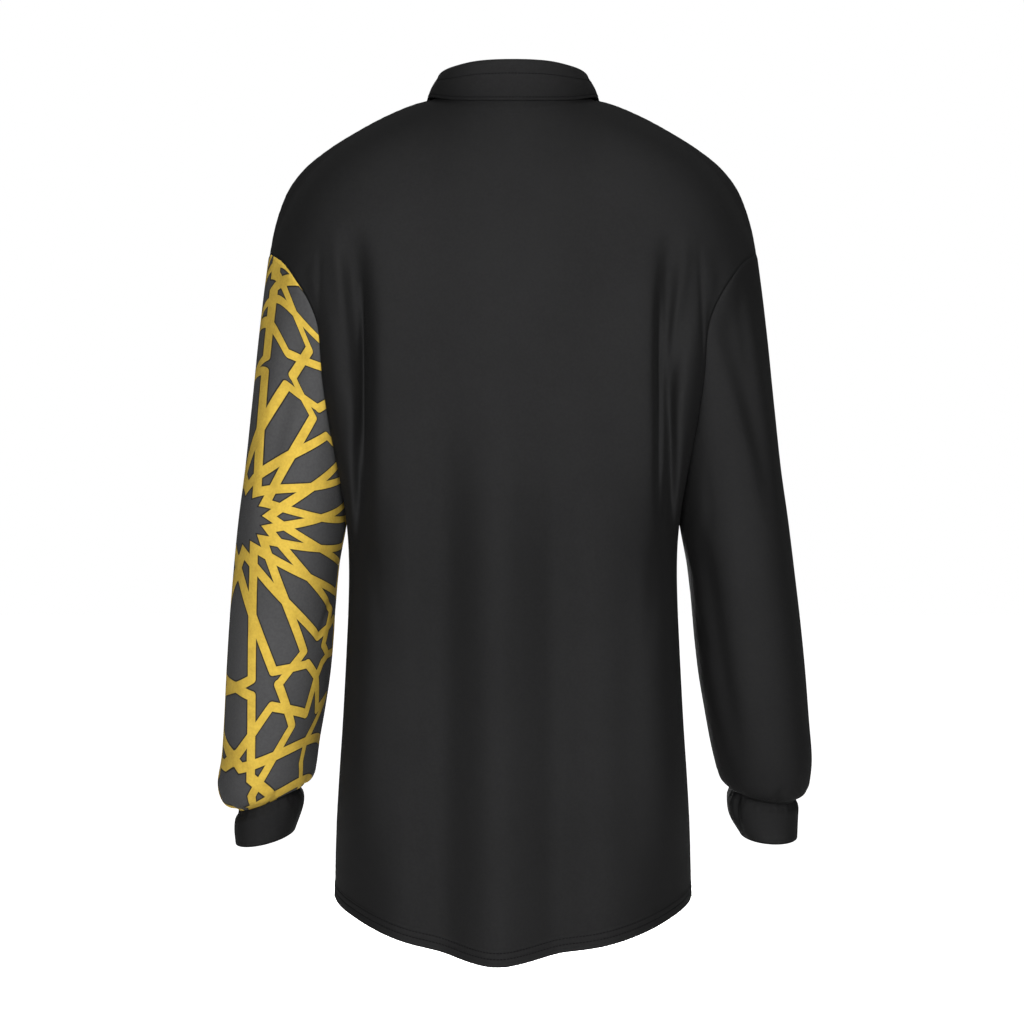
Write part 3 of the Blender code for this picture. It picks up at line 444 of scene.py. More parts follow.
torsoRow = namedtuple("torsoRow", "z side back front backHandle sideHandle")
fullness = namedtuple("fullness", "x halfWidth drop")
seamPoint = namedtuple("seamPoint", "x y z")
bodyShape = {
    "wall": 0.0012,  # wall of the single-layer panels
    # Half widths and depths at each height, and how square the section is.
    "torso": (
        torsoRow(-0.800, 0.1700, 0.122, 0.128, 0.64, 0.60),
        torsoRow(-0.730, 0.1690, 0.120, 0.128, 0.64, 0.60),
        torsoRow(-0.670, 0.1672, 0.119, 0.127, 0.64, 0.60),
        torsoRow(-0.600, 0.1612, 0.118, 0.127, 0.65, 0.61),
        torsoRow(-0.520, 0.1576, 0.117, 0.127, 0.66, 0.62),
        torsoRow(-0.450, 0.1536, 0.118, 0.128, 0.68, 0.64),
        torsoRow(-0.398, 0.1568, 0.119, 0.128, 0.70, 0.66),
        torsoRow(-0.340, 0.1580, 0.120, 0.128, 0.72, 0.66),
    ),
    "armpitZ": -0.398,
    # Shirt-tail hem: highest at the side seams, with one fuller spot in each panel.
    "sideHemZ": -0.756,
    "tailDrop": 0.028,
    "tailPower": 0.8,
    "hemFullness": {behind: fullness(0.021, 0.060, 0.0090), before: fullness(-0.006, 0.060, 0.006)},
    # Neckline of the body, from centre back over the high shoulder point to centre front.
    "neckHalfWidth": 0.0730,
    "neckDepth": {behind: 0.0655, before: 0.0740},
    "neckDrop": {behind: 0.0110, before: 0.0760},
    "neckRounding": {behind: 1.6, before: 1.5},
    # Shoulder seam, from the high shoulder point over the dropped shoulder to the armhole.
    "shoulder": (
        seamPoint(0.0730, 0.000, 0.0010),
        seamPoint(0.0930, 0.000, -0.0042),
        seamPoint(0.1210, -0.001, -0.0155),
        seamPoint(0.1490, -0.001, -0.0305),
        seamPoint(0.1760, -0.002, -0.0472),
        seamPoint(0.1992, -0.003, -0.0660),
        seamPoint(0.2135, -0.003, -0.0850),
        seamPoint(0.2220, -0.004, -0.1045),
        seamPoint(0.2278, -0.004, -0.1245),
        seamPoint(0.2318, -0.004, -0.1460),
    ),
    # Armhole seam of either arm: armpit, up the back, over the shoulder, down the front.
    "armpitToTop": 10,  # rows from the armpit to the end of the shoulder seam
    "armhole": (
        seamPoint(0.1568, 0.0000, -0.3980),
        seamPoint(0.1605, 0.0350, -0.3660),
        seamPoint(0.1697, 0.0575, -0.3120),
        seamPoint(0.1763, 0.0662, -0.2583),
        seamPoint(0.1785, 0.0668, -0.2270),
        seamPoint(0.1827, 0.0660, -0.2079),
        seamPoint(0.1961, 0.0600, -0.1862),
        seamPoint(0.2064, 0.0500, -0.1694),
        seamPoint(0.2150, 0.0380, -0.1595),
        seamPoint(0.2275, 0.0170, -0.1500),
        seamPoint(0.2318, -0.0040, -0.1460),
        seamPoint(0.2265, -0.0260, -0.1500),
        seamPoint(0.2140, -0.0460, -0.1595),
        seamPoint(0.2050, -0.0570, -0.1694),
        seamPoint(0.1945, -0.0665, -0.1862),
        seamPoint(0.1810, -0.0715, -0.2079),
        seamPoint(0.1755, -0.0720, -0.2270),
        seamPoint(0.1728, -0.0705, -0.2583),
        seamPoint(0.1672, -0.0600, -0.3120),
        seamPoint(0.1600, -0.0350, -0.3660),
    ),
    # How strongly the upper body bellies out between the armpit row and the top edge.
    "shoulderPull": {behind: 0.34, before: 0.36},
    "neckPull": {behind: 0.30, before: 0.22},
    "neckSlope": {behind: 62.0, before: 66.0},
    "armpitPull": 0.30,
    "neckShare": 0.30,  # share of the half row's parameter that ends on the neckline
    "neckPullEnd": 0.48,  # where on the half row the neck's pull has turned into the shoulder's
    # Rows and columns: the coarse ones of the shape, and how many parts each is cut into.
    "lowerRows": 9,
    "lowerParts": 8,
    "upperRows": 13,
    "upperParts": 5,
    "fineColumns": 60,
    "neckColumns": 9,
    "neckParts": 3,
    "cornerPasses": 80,  # how often the corner under the neck's end is smoothed
    "cornerLevels": (1.1, 1.6, 1.95),  # where that starts, is full and has ended
    "relaxPasses": 4,
    "hemBand": 0.0145,  # turned-up band and its twin-needle stitching
    "hemStep": 0.0016,  # width of the step at the band's upper edge
    "hemRow": 0.0007,  # between the rows of the mesh in the band, and how far they go on past it
    "pastBand": 0.0040,
    "lowerHeight": 0.37,  # from the hem to the armpit
    "hemThickness": 0.0004,
    "hemStitches": (0.0070, 0.0125),
    "hemGroove": 0.0003,
}


# Point of one quarter of a section: u runs from centre back or front (0) to the side seam (1)
# along a cubic curve.
def torsoPoint(u, z, face):
    side = columnAt(bodyShape["torso"], "side", z)[0]
    depth = face * columnAt(bodyShape["torso"], "back" if face == behind else "front", z)[0]
    level = columnAt(bodyShape["torso"], "backHandle", z)[0] * side
    lower = columnAt(bodyShape["torso"], "sideHandle", z)[0] * depth
    ends = (
        np.array([0.0, depth, z]),
        np.array([level, depth, z]),
        np.array([side, lower, z]),
        np.array([side, 0.0, z]),
    )
    weights = ((1 - u) ** 3, 3 * u * (1 - u) ** 2, 3 * u * u * (1 - u), u**3)
    return sum(weight * end for weight, end in zip(weights, ends))


def hemHeight(u):  # the shirt-tail curve
    lowest = bodyShape["torso"][0]
    across = torsoPoint(u, lowest.z, behind)[0] / lowest.side
    drop = max(1 - across**2, 0.0) ** bodyShape["tailPower"]
    return bodyShape["sideHemZ"] - bodyShape["tailDrop"] * drop


def neckPoint(turn, out=0.0):  # on the neckline, by degrees round it from centre back
    a = math.radians(turn)
    face = behind if math.cos(a) >= 0 else before
    share = abs(math.cos(a))
    x = (bodyShape["neckHalfWidth"] + out) * math.sin(a)
    y = face * (bodyShape["neckDepth"][face] + out) * share
    drop = bodyShape["neckDrop"][face] * share ** bodyShape["neckRounding"][face]
    return np.array([x, y, bodyShape["shoulder"][0].z - drop])


def topEdge(u, face):  # half the neckline, then the shoulder seam
    if u <= bodyShape["neckShare"]:
        turn = 90.0 * u / bodyShape["neckShare"]
        return neckPoint(turn if face == behind else 180.0 - turn)
    share = (u - bodyShape["neckShare"]) / (1 - bodyShape["neckShare"])
    return evenly([tuple(point) for point in bodyShape["shoulder"]], [share])[0]


def topPull(u, face):  # the way the panel leaves its top edge: down the neck, or over the shoulder
    slope = math.radians(bodyShape["neckSlope"][face])
    down = np.array([0.0, -face * math.cos(slope), math.sin(slope)])
    downNeck = bodyShape["neckPull"][face] * down
    over = bodyShape["shoulderPull"][face] * np.array([0.0, -face, 0.0])
    return downNeck + (over - downNeck) * smoothStep(u / bodyShape["neckPullEnd"])


def armholeSeam(face, shares):  # from the armpit to the top; the line runs on past both ends
    loop = [tuple(point) for point in bodyShape["armhole"]]
    if face == before:
        loop = loop[:1] + loop[:0:-1]
    top = bodyShape["armpitToTop"] if face == behind else len(loop) - bodyShape["armpitToTop"]
    return evenly(loop[-2:] + loop[: top + 3], shares, skipped=2)


def smoothRow(level, face):  # level 0 is the hem, 1 the armpit, 2 the top edge
    columns = np.linspace(0, 1, bodyShape["fineColumns"] + 1)
    armpitZ = bodyShape["armpitZ"]
    if level <= 1:
        heights = [hemHeight(u) * (1 - level) + armpitZ * level for u in columns]
        return np.array([torsoPoint(u, z, face) for u, z in zip(columns, heights)])
    q = level - 1
    h00, h10 = 2 * q**3 - 3 * q**2 + 1, q**3 - 2 * q**2 + q
    h01, h11 = 3 * q**2 - 2 * q**3, q**3 - q**2
    step = 0.01
    row = []
    for u in columns:
        base = torsoPoint(u, armpitZ, face)
        rise = (torsoPoint(u, armpitZ + step, face) - base) / step * bodyShape["armpitPull"]
        row.append(h00 * base + h10 * rise + h01 * topEdge(u, face) + h11 * topPull(u, face))
    row = np.array(row)
    toSeam = armholeSeam(face, [q])[0] - row[-1]
    return row + (smoothStep(columns) ** 2)[:, None] * toSeam


creaseRow = namedtuple("creaseRow", "z x depth innerWidth outerWidth")
foldLine = namedtuple("foldLine", "xTop zTop xBottom zBottom halfWidth height fadeIn fadeOut")
foldShape = {
    # The crease between body and arm. One line of the grid follows it from hem to shoulder.
    "crease": (
        creaseRow(-0.800, 0.1420, 0.000, 0.014, 0.014),
        creaseRow(-0.560, 0.1420, 0.000, 0.014, 0.014),
        creaseRow(-0.470, 0.1425, 0.004, 0.014, 0.012),
        creaseRow(-0.420, 0.1418, 0.012, 0.012, 0.008),
        creaseRow(-0.385, 0.1402, 0.020, 0.011, 0.006),
        creaseRow(-0.340, 0.1385, 0.023, 0.011, 0.006),
        creaseRow(-0.300, 0.1374, 0.023, 0.011, 0.006),
        creaseRow(-0.256, 0.1369, 0.021, 0.011, 0.010),
        creaseRow(-0.215, 0.1375, 0.016, 0.012, 0.017),
        creaseRow(-0.170, 0.1390, 0.008, 0.012, 0.018),
        creaseRow(-0.130, 0.1410, 0.000, 0.012, 0.018),
        creaseRow(-0.025, 0.1440, 0.000, 0.012, 0.018),
    ),
    "creaseShift": {leftArm: 0.0, rightArm: -0.0045},
    "creaseShare": {behind: 0.66, before: 0.6},
    # Columns crowd towards the crease, more evenly above this level.
    "toCrease": (0.0, 0.24, 0.45, 0.63, 0.77, 0.88, 0.95, 1.0),
    "pastCrease": (0.0, 0.04, 0.09, 0.16, 0.27, 0.43, 0.62, 0.81, 1.0),
    "evenFrom": 1.55,
    "creaseParts": 5,
    "sideFade": 0.020,  # over which the folds die out towards the side seams
    # Soft folds of the body: a line in the front or back view, its half width and height.
    # A height below zero is a trough. The fades say how much of the length swells and dies.
    "folds": {
        behind: (
            foldLine(0.0145, -0.210, 0.0135, -0.82, 0.0260, 0.0140, 0.38, 0.0),
            foldLine(0.0640, -0.220, 0.0660, -0.82, 0.0220, -0.0110, 0.36, 0.0),
            foldLine(-0.0390, -0.240, -0.0410, -0.82, 0.0190, -0.0085, 0.38, 0.0),
            foldLine(-0.0830, -0.290, -0.0850, -0.82, 0.0200, 0.0030, 0.50, 0.0),
            foldLine(0.1640, -0.130, 0.1410, -0.29, 0.0070, 0.0040, 0.35, 0.30),
            foldLine(-0.1600, -0.130, -0.1370, -0.29, 0.0070, 0.0045, 0.35, 0.30),
        ),
        before: (
            foldLine(0.0560, -0.260, 0.0660, -0.82, 0.0230, 0.0080, 0.50, 0.0),
            foldLine(0.0180, -0.300, 0.0200, -0.82, 0.0200, -0.0055, 0.50, 0.0),
            foldLine(-0.0260, -0.330, -0.0280, -0.82, 0.0180, 0.0040, 0.50, 0.0),
            foldLine(-0.0660, -0.280, -0.0740, -0.82, 0.0220, -0.0060, 0.50, 0.0),
            foldLine(0.1600, -0.140, 0.1420, -0.29, 0.0080, 0.0040, 0.35, 0.30),
            foldLine(-0.1580, -0.140, -0.1400, -0.29, 0.0080, 0.0040, 0.35, 0.30),
        ),
    },
    # Narrow creases that the solid leaves out: lines at the shoulders and pulls from the seams.
    "creases": {
        behind: (
            foldLine(0.1764, -0.140, 0.1778, -0.210, 0.0022, -0.0014, 0.35, 0.40),
            foldLine(0.2056, -0.146, 0.2026, -0.170, 0.0020, -0.0008, 0.40, 0.40),
            foldLine(0.1835, -0.150, 0.1832, -0.235, 0.0055, 0.0012, 0.40, 0.40),
            foldLine(-0.1700, -0.135, -0.1748, -0.295, 0.0024, -0.0018, 0.30, 0.35),
            foldLine(-0.1800, -0.150, -0.1825, -0.240, 0.0055, 0.0012, 0.40, 0.40),
            foldLine(0.1460, -0.120, 0.1410, -0.310, 0.0110, -0.0075, 0.30, 0.30),
            foldLine(0.1368, -0.170, 0.1350, -0.370, 0.0034, -0.0070, 0.35, 0.35),
            foldLine(-0.1318, -0.170, -0.1315, -0.420, 0.0034, -0.0075, 0.35, 0.35),
            foldLine(-0.1400, -0.125, -0.1360, -0.330, 0.0090, -0.0050, 0.30, 0.30),
            foldLine(0.1520, -0.620, 0.1560, -0.860, 0.0340, -0.0150, 0.60, 0.0),
            foldLine(-0.1520, -0.620, -0.1560, -0.860, 0.0340, -0.0150, 0.60, 0.0),
            foldLine(0.1370, -0.420, 0.1400, -0.760, 0.0260, 0.0075, 0.20, 0.45),
            foldLine(-0.1380, -0.430, -0.1410, -0.770, 0.0270, 0.0085, 0.20, 0.45),
            foldLine(-0.1500, -0.180, -0.1400, -0.280, 0.0034, 0.0017, 0.40, 0.45),
            foldLine(0.1330, -0.395, 0.1180, -0.520, 0.0070, -0.0014, 0.30, 0.60),
            foldLine(-0.1320, -0.400, -0.1210, -0.545, 0.0075, -0.0016, 0.30, 0.60),
            foldLine(0.0960, -0.300, 0.1010, -0.610, 0.0150, 0.0016, 0.50, 0.50),
            foldLine(-0.1180, -0.340, -0.1210, -0.700, 0.0130, 0.0014, 0.50, 0.50),
        ),
        before: (
            foldLine(0.1700, -0.140, 0.1740, -0.225, 0.0026, -0.0016, 0.35, 0.40),
            foldLine(-0.1690, -0.145, -0.1735, -0.245, 0.0028, -0.0015, 0.35, 0.40),
            foldLine(0.1320, -0.395, 0.1090, -0.535, 0.0080, -0.0016, 0.30, 0.60),
            foldLine(-0.1310, -0.400, -0.1120, -0.520, 0.0070, -0.0014, 0.30, 0.60),
            foldLine(0.0720, -0.060, 0.1160, -0.170, 0.0090, -0.0010, 0.35, 0.60),
            foldLine(-0.0720, -0.060, -0.1100, -0.185, 0.0090, -0.0011, 0.35, 0.60),
        ),
    },
}


def pinnedRow(row, side, level):  # columns pinned to the neck's end and to the crease
    run = runOf(row)
    creaseX = columnAt(foldShape["crease"], "x", row[:, 2]) + foldShape["creaseShift"][side] * side
    climbing = np.maximum.accumulate(row[:, 0] - creaseX)
    past = int(np.argmax(climbing > 0))
    share = -climbing[past - 1] / (climbing[past] - climbing[past - 1])
    crease = run[past - 1] + share * (run[past] - run[past - 1])
    step = round(bodyShape["neckShare"] * bodyShape["fineColumns"] / bodyShape["neckColumns"])
    neck = run[step * bodyShape["neckColumns"]]
    even = smoothStep((level - foldShape["evenFrom"]) / (2 - foldShape["evenFrom"]))
    nearer, farther = (
        np.array(marks) * (1 - even) + np.linspace(0, 1, len(marks)) * even
        for marks in (foldShape["toCrease"], foldShape["pastCrease"])
    )
    neckRuns = run[: step * bodyShape["neckColumns"] + 1 : step]
    parts = foldShape["creaseParts"]
    places = np.concatenate([
        splitEach(neckRuns, bodyShape["neckParts"]),
        neck + (crease - neck) * splitEach(nearer, parts)[1:],
        crease + (run[-1] - crease) * splitEach(farther, parts)[1:],
    ])
    return through(run, row, places)


def creaseLift(x, z, side):  # the trough between the body and one arm
    line, inner, outer, depth = (
        columnAt(foldShape["crease"], name, z.ravel()).reshape(z.shape)
        for name in ("x", "innerWidth", "outerWidth", "depth")
    )
    across = (x - foldShape["creaseShift"][side]) * side - line
    return -np.maximum(depth, 0.0) * bell(across, np.where(across < 0, inner, outer))


def foldLift(x, z, folds):  # how far the folds raise or sink points of the body
    lift = np.zeros(x.shape)
    for fold in folds:
        along = (fold.zTop - z) / (fold.zTop - fold.zBottom)
        across = x - (fold.xTop + (fold.xBottom - fold.xTop) * along)
        swell = smoothStep(along / fold.fadeIn)
        if fold.fadeOut:
            swell = swell * smoothStep((1 - along) / fold.fadeOut)
        lift += fold.height * swell * bell(across, fold.halfWidth)
    return lift


def fineLevels():  # rows of the body's mesh: close together in the hem's band
    lower = bodyShape["lowerRows"]
    hemReach = bodyShape["hemBand"] + bodyShape["pastBand"]
    hemRows = np.arange(0, hemReach, bodyShape["hemRow"]) / bodyShape["lowerHeight"]
    first = np.linspace(hemRows[-1], 1 / lower, 5)[1:-1]
    rest = splitEach(np.arange(1, lower + 1) / lower, bodyShape["lowerParts"])
    coarse = np.linspace(0, 1, bodyShape["upperRows"] + 1)
    above = 1 + splitEach(coarse, bodyShape["upperParts"])[1:]
    return np.concatenate([hemRows, first, rest, above])


def softenNeckCorner(rows, levels):  # the corner of neck and shoulder dies out below the top edge
    start, full, end = bodyShape["cornerLevels"]
    weight = smoothStep((levels - start) / (full - start)) * smoothStep((2 - levels) / (2 - end))
    weight = weight[:, None, None]
    for _ in range(bodyShape["cornerPasses"]):
        mirrored = rows[:, 1:2] * np.array([-1.0, 1.0, 1.0])
        nearer = np.concatenate([mirrored, rows[:, :-2]], axis=1)
        rows[:, :-1] += ((nearer + rows[:, 1:]) / 2 - rows[:, :-1]) * weight / 2
    return rows


def bodyGrid(face):  # rows from hem to top, columns from right to left
    levels = np.concatenate([
        np.linspace(0, 1, bodyShape["lowerRows"] + 1),
        1 + np.linspace(0, 1, bodyShape["upperRows"] + 1)[1:],
    ])
    smooth = np.array([smoothRow(level, face) for level in levels])
    smooth = relax(smooth, bodyShape["relaxPasses"])
    fine = fineLevels()
    smooth = through(levels, smooth.reshape(len(levels), -1), fine).reshape(len(fine), -1, 3)
    smooth = softenNeckCorner(smooth, fine)
    halves = []
    for side in (rightArm, leftArm):
        rows = [pinnedRow(row, side, level) for row, level in zip(smooth, fine)]
        halves.append(np.array(rows) * np.array([side, 1.0, 1.0]))
    grid = np.concatenate([halves[0][:, :0:-1], halves[1]], axis=1)
    x, z = grid[..., 0].copy(), grid[..., 2].copy()
    lift = foldLift(x, z, foldShape["folds"][face]) + foldLift(x, z, foldShape["creases"][face])
    for side in (rightArm, leftArm):
        lift += foldShape["creaseShare"][face] * np.where(x * side > 0, creaseLift(x, z, side), 0.0)
    runs = runsAcross(grid)
    fromSide = np.minimum(runs, runs[:, -1:] - runs)
    grid[..., 1] += face * lift * smoothStep(fromSide / foldShape["sideFade"])
    full = bodyShape["hemFullness"][face]
    sag = full.drop * bell(x - full.x, full.halfWidth)
    grid[..., 2] -= sag * ((1 - np.clip(fine, 0, 1)) ** 2)[:, None]
    return grid


seamLook = {
    "depth": 0.0004,  # how far a seam draws the cloth in
    "width": 0.0030,
    "unevenness": 0.35,
    "pucker": 0.011,
    "grooveWidth": 0.0009,  # of a line of stitches
    "cuffWidth": 0.0045,  # how far below its seam a cuff stands out again
    "cuffDepth": 0.0042,
    "blouse": 0.0080,  # how far above the cuff the sleeve bags over
    "underarm": 0.0006,
}


def finishBody(panels):  # seams drawn in, and the hem's turned band with its two stitch grooves
    armpitRow = len(fineLevels()) - bodyShape["upperRows"] * bodyShape["upperParts"] - 1
    back, front = panels[behind], panels[before]
    fromMiddle = np.abs(np.arange(back.shape[1]) - back.shape[1] // 2)
    beyondNeck = fromMiddle >= bodyShape["neckColumns"] * bodyShape["neckParts"]
    front[-1, beyondNeck] = back[-1, beyondNeck]
    for edge in (np.s_[: armpitRow + 1, 0], np.s_[: armpitRow + 1, -1]):
        back[edge] = front[edge] = (back[edge] + front[edge]) / 2
    facing = {face: facingOf(panels[face]) for face in panels}
    for edge in (np.s_[: armpitRow + 1, 0], np.s_[: armpitRow + 1, -1], np.s_[-1, beyondNeck]):
        shared = unit(facing[behind][edge] + facing[before][edge])
        facing[behind][edge], facing[before][edge] = shared, shared
    for face, grid in panels.items():
        runs, climbs = runsAcross(grid), runsAlong(grid)
        fromSide = np.minimum(runs, runs[:, -1:] - runs)
        fromTop = np.where(beyondNeck[None, :], climbs[-1:] - climbs, 1.0)
        alongSeam = np.where(fromSide < fromTop, climbs, runs)
        pucker = 1 + seamLook["unevenness"] * wander(alongSeam, seamLook["pucker"], 3 + face)
        lift = -seamLook["depth"] * bell(np.minimum(fromSide, fromTop), seamLook["width"]) * pucker
        pastBand = (climbs - bodyShape["hemBand"]) / bodyShape["hemStep"]
        lift += bodyShape["hemThickness"] * (1 - smoothStep(pastBand + 0.5))
        for stitch in bodyShape["hemStitches"]:
            lift -= bodyShape["hemGroove"] * bell(climbs - stitch, seamLook["grooveWidth"])
        panels[face] = grid + facing[face] * lift[..., None]
    return facing, armpitRow


panels = {face: bodyGrid(face) for face in (behind, before)}
facing, armpitRow = finishBody(panels)
back, front = panels[behind], panels[before]
clothSheet("backCloth", back, bodyShape["wall"], "blackKnit")
clothSheet("frontCloth", front, bodyShape["wall"], "blackKnit")
print("body panels:", back.shape)

sleeveRing = namedtuple("sleeveRing", "outerX outerZ innerX innerZ y halfDepth backDrop")
sleeveFold = namedtuple("sleeveFold", "roundTop alongTop roundBottom alongBottom halfRound height")
sleeveShape = {
    # Sleeve rings of either arm, from the armhole to where the wrist begins. backDrop
    # tilts a ring: its back half hangs that much lower, and its front half higher.
    "rings": (
        sleeveRing(0.2318, -0.146, 0.1568, -0.398, -0.003, 0.0695, 0.000),
        sleeveRing(0.2374, -0.190, 0.1578, -0.403, -0.002, 0.0695, 0.000),
        sleeveRing(0.2422, -0.235, 0.1588, -0.408, -0.001, 0.0695, 0.000),
        sleeveRing(0.2472, -0.290, 0.1602, -0.415, 0.000, 0.0690, 0.000),
        sleeveRing(0.2528, -0.347, 0.1624, -0.426, 0.001, 0.0685, 0.001),
        sleeveRing(0.2596, -0.400, 0.1655, -0.445, 0.002, 0.0675, 0.002),
        sleeveRing(0.2650, -0.450, 0.1690, -0.478, 0.000, 0.065, 0.004),
        sleeveRing(0.2700, -0.497, 0.1722, -0.513, -0.006, 0.063, 0.006),
        sleeveRing(0.2740, -0.542, 0.1765, -0.548, -0.013, 0.061, 0.007),
        sleeveRing(0.2776, -0.588, 0.1826, -0.582, -0.021, 0.059, 0.007),
        sleeveRing(0.2812, -0.624, 0.1886, -0.612, -0.029, 0.057, 0.007),
    ),
    "ringSteps": 48,
    "fullness": 0.94,  # below 1 a ring is squarer than an ellipse
    "rows": 11,
    "rowParts": 11,
    "seamReach": 0.30,  # share of the sleeve over which its round end turns into the armhole
    "swingFrom": 4,
    "swing": {leftArm: (-0.0010, -0.0020), rightArm: (0.0062, 0.0015)},  # outer, inner
    # Last sleeve rings and the cuff's rings, arm by arm: the two wrists hang differently.
    "wrist": {
        leftArm: (
            sleeveRing(0.2850, -0.652, 0.1902, -0.636, -0.034, 0.054, 0.006),
            sleeveRing(0.2808, -0.670, 0.1935, -0.648, -0.037, 0.048, 0.005),
            sleeveRing(0.2690, -0.681, 0.2035, -0.6575, -0.040, 0.0375, 0.004),
        ),
        rightArm: (
            sleeveRing(0.2870, -0.645, 0.1950, -0.632, -0.034, 0.054, 0.006),
            sleeveRing(0.2846, -0.658, 0.1998, -0.648, -0.037, 0.048, 0.007),
            sleeveRing(0.2775, -0.6685, 0.2072, -0.6590, -0.040, 0.0375, 0.008),
        ),
    },
    # Folds along a sleeve: place round the ring (0 outer, 0.25 back, 0.5 inner, 0.75 front)
    # and along the sleeve (0 armhole, 1 cuff).
    "folds": {
        leftArm: (
            sleeveFold(0.15, -0.05, 0.21, 0.45, 0.032, -0.0035),
            sleeveFold(0.86, -0.05, 0.80, 0.50, 0.035, -0.0045),
            sleeveFold(0.62, 0.25, 0.70, 0.80, 0.035, -0.0035),
        ),
        rightArm: (
            sleeveFold(0.13, -0.10, 0.17, 0.40, 0.032, -0.0045),
            sleeveFold(0.84, -0.05, 0.79, 0.48, 0.035, -0.0040),
            sleeveFold(0.39, 0.20, 0.33, 0.85, 0.040, -0.0040),
            sleeveFold(0.63, 0.30, 0.69, 0.78, 0.035, -0.0035),
        ),
    },
    "foldFade": 0.4,
    "flatEnds": (0.08, 0.06),  # share of the sleeve next to each seam over which folds die out
    # Narrower creases that the solid leaves out.
    "creases": {
        leftArm: (
            sleeveFold(0.46, 0.42, 0.36, 0.56, 0.016, -0.0016),
            sleeveFold(0.52, 0.46, 0.62, 0.62, 0.018, -0.0014),
            sleeveFold(0.30, 0.86, 0.28, 1.02, 0.012, -0.0022),
            sleeveFold(0.12, 0.88, 0.11, 1.02, 0.014, -0.0018),
            sleeveFold(0.42, 0.84, 0.44, 1.02, 0.013, -0.0020),
            sleeveFold(0.72, 0.86, 0.70, 1.02, 0.014, -0.0020),
            sleeveFold(0.90, 0.87, 0.92, 1.02, 0.013, -0.0016),
            sleeveFold(0.58, 0.88, 0.57, 1.02, 0.012, -0.0018),
        ),
        rightArm: (
            sleeveFold(0.275, 0.16, 0.285, 0.60, 0.026, 0.0009),
            sleeveFold(0.335, 0.12, 0.345, 0.34, 0.018, -0.0007),
            sleeveFold(0.09, -0.02, 0.13, 0.20, 0.016, -0.0018),
            sleeveFold(0.47, 0.44, 0.39, 0.58, 0.018, -0.0009),
            sleeveFold(0.53, 0.42, 0.61, 0.60, 0.018, -0.0015),
            sleeveFold(0.21, 0.85, 0.22, 1.02, 0.012, -0.0022),
            sleeveFold(0.36, 0.87, 0.35, 1.02, 0.014, -0.0020),
            sleeveFold(0.06, 0.88, 0.05, 1.02, 0.013, -0.0017),
            sleeveFold(0.68, 0.86, 0.70, 1.02, 0.014, -0.0020),
            sleeveFold(0.86, 0.87, 0.85, 1.02, 0.013, -0.0018),
            sleeveFold(0.52, 0.88, 0.53, 1.02, 0.012, -0.0016),
        ),
    },
}


def halfRing(ring, face):  # back or front half of a ring, from its outer to its inner edge
    outer = np.array([ring.outerX, ring.y, ring.outerZ])
    inner = np.array([ring.innerX, ring.y, ring.innerZ])
    middle, reach = (outer + inner) / 2, (outer - inner) / 2
    bulge = face * np.array([0.0, ring.halfDepth, -ring.backDrop])
    angles = np.linspace(0, math.pi, sleeveShape["ringSteps"] + 1)
    deep = np.sin(angles) ** sleeveShape["fullness"]
    return middle + np.cos(angles)[:, None] * reach + deep[:, None] * bulge


def ringPoints(ring):  # outer edge, back, inner edge, front
    half = bodyShape["upperRows"] * bodyShape["upperParts"]
    shares = np.linspace(0, 1, half + 1)
    backHalf, frontHalf = (evenly(halfRing(ring, face), shares) for face in (behind, before))
    return np.concatenate([backHalf[:-1], frontHalf[:0:-1]])


def ringBetween(rings, place):  # a ring at any share of the way down
    keys = np.linspace(0, 1, len(rings))
    return sleeveRing(*through(keys, [tuple(ring) for ring in rings], place)[0])


def swung(arm):  # the rings of one arm, moved to where it hangs
    outer, inner = sleeveShape["swing"][arm]
    start = sleeveShape["swingFrom"]
    rings = []
    for index, ring in enumerate(sleeveShape["rings"]):
        share = smoothStep((index - start) / (len(sleeveShape["rings"]) - 1 - start))
        outerX, innerX = ring.outerX + outer * share, ring.innerX + inner * share
        rings.append(ring._replace(outerX=outerX, innerX=innerX))
    return tuple(rings) + sleeveShape["wrist"][arm]


def tubeLift(grid, places, folds):  # how far folds raise or sink the points of a tube
    lift = np.zeros(grid.shape[:2])
    turns, fade = np.arange(grid.shape[1]) / grid.shape[1], sleeveShape["foldFade"]
    for fold in folds:
        along = (places - fold.alongTop) / (fold.alongBottom - fold.alongTop)
        centre = fold.roundTop + (fold.roundBottom - fold.roundTop) * along
        across = (turns[None, :] - centre[:, None] + 0.5) % 1.0 - 0.5
        swell = smoothStep(along / fade) * smoothStep((1 - along) / fade)
        lift += fold.height * swell[:, None] * bell(across, fold.halfRound)
    return lift


def raisedTube(grid, lift, arm):  # moved out by its folds; columns start and end at the armpit
    half = grid.shape[1] // 2
    grid = (grid - normalsOf(grid, closed=True) * lift[..., None]) * np.array([arm, 1.0, 1.0])
    return np.concatenate([grid[:, half:], grid[:, : half + 1]], axis=1)


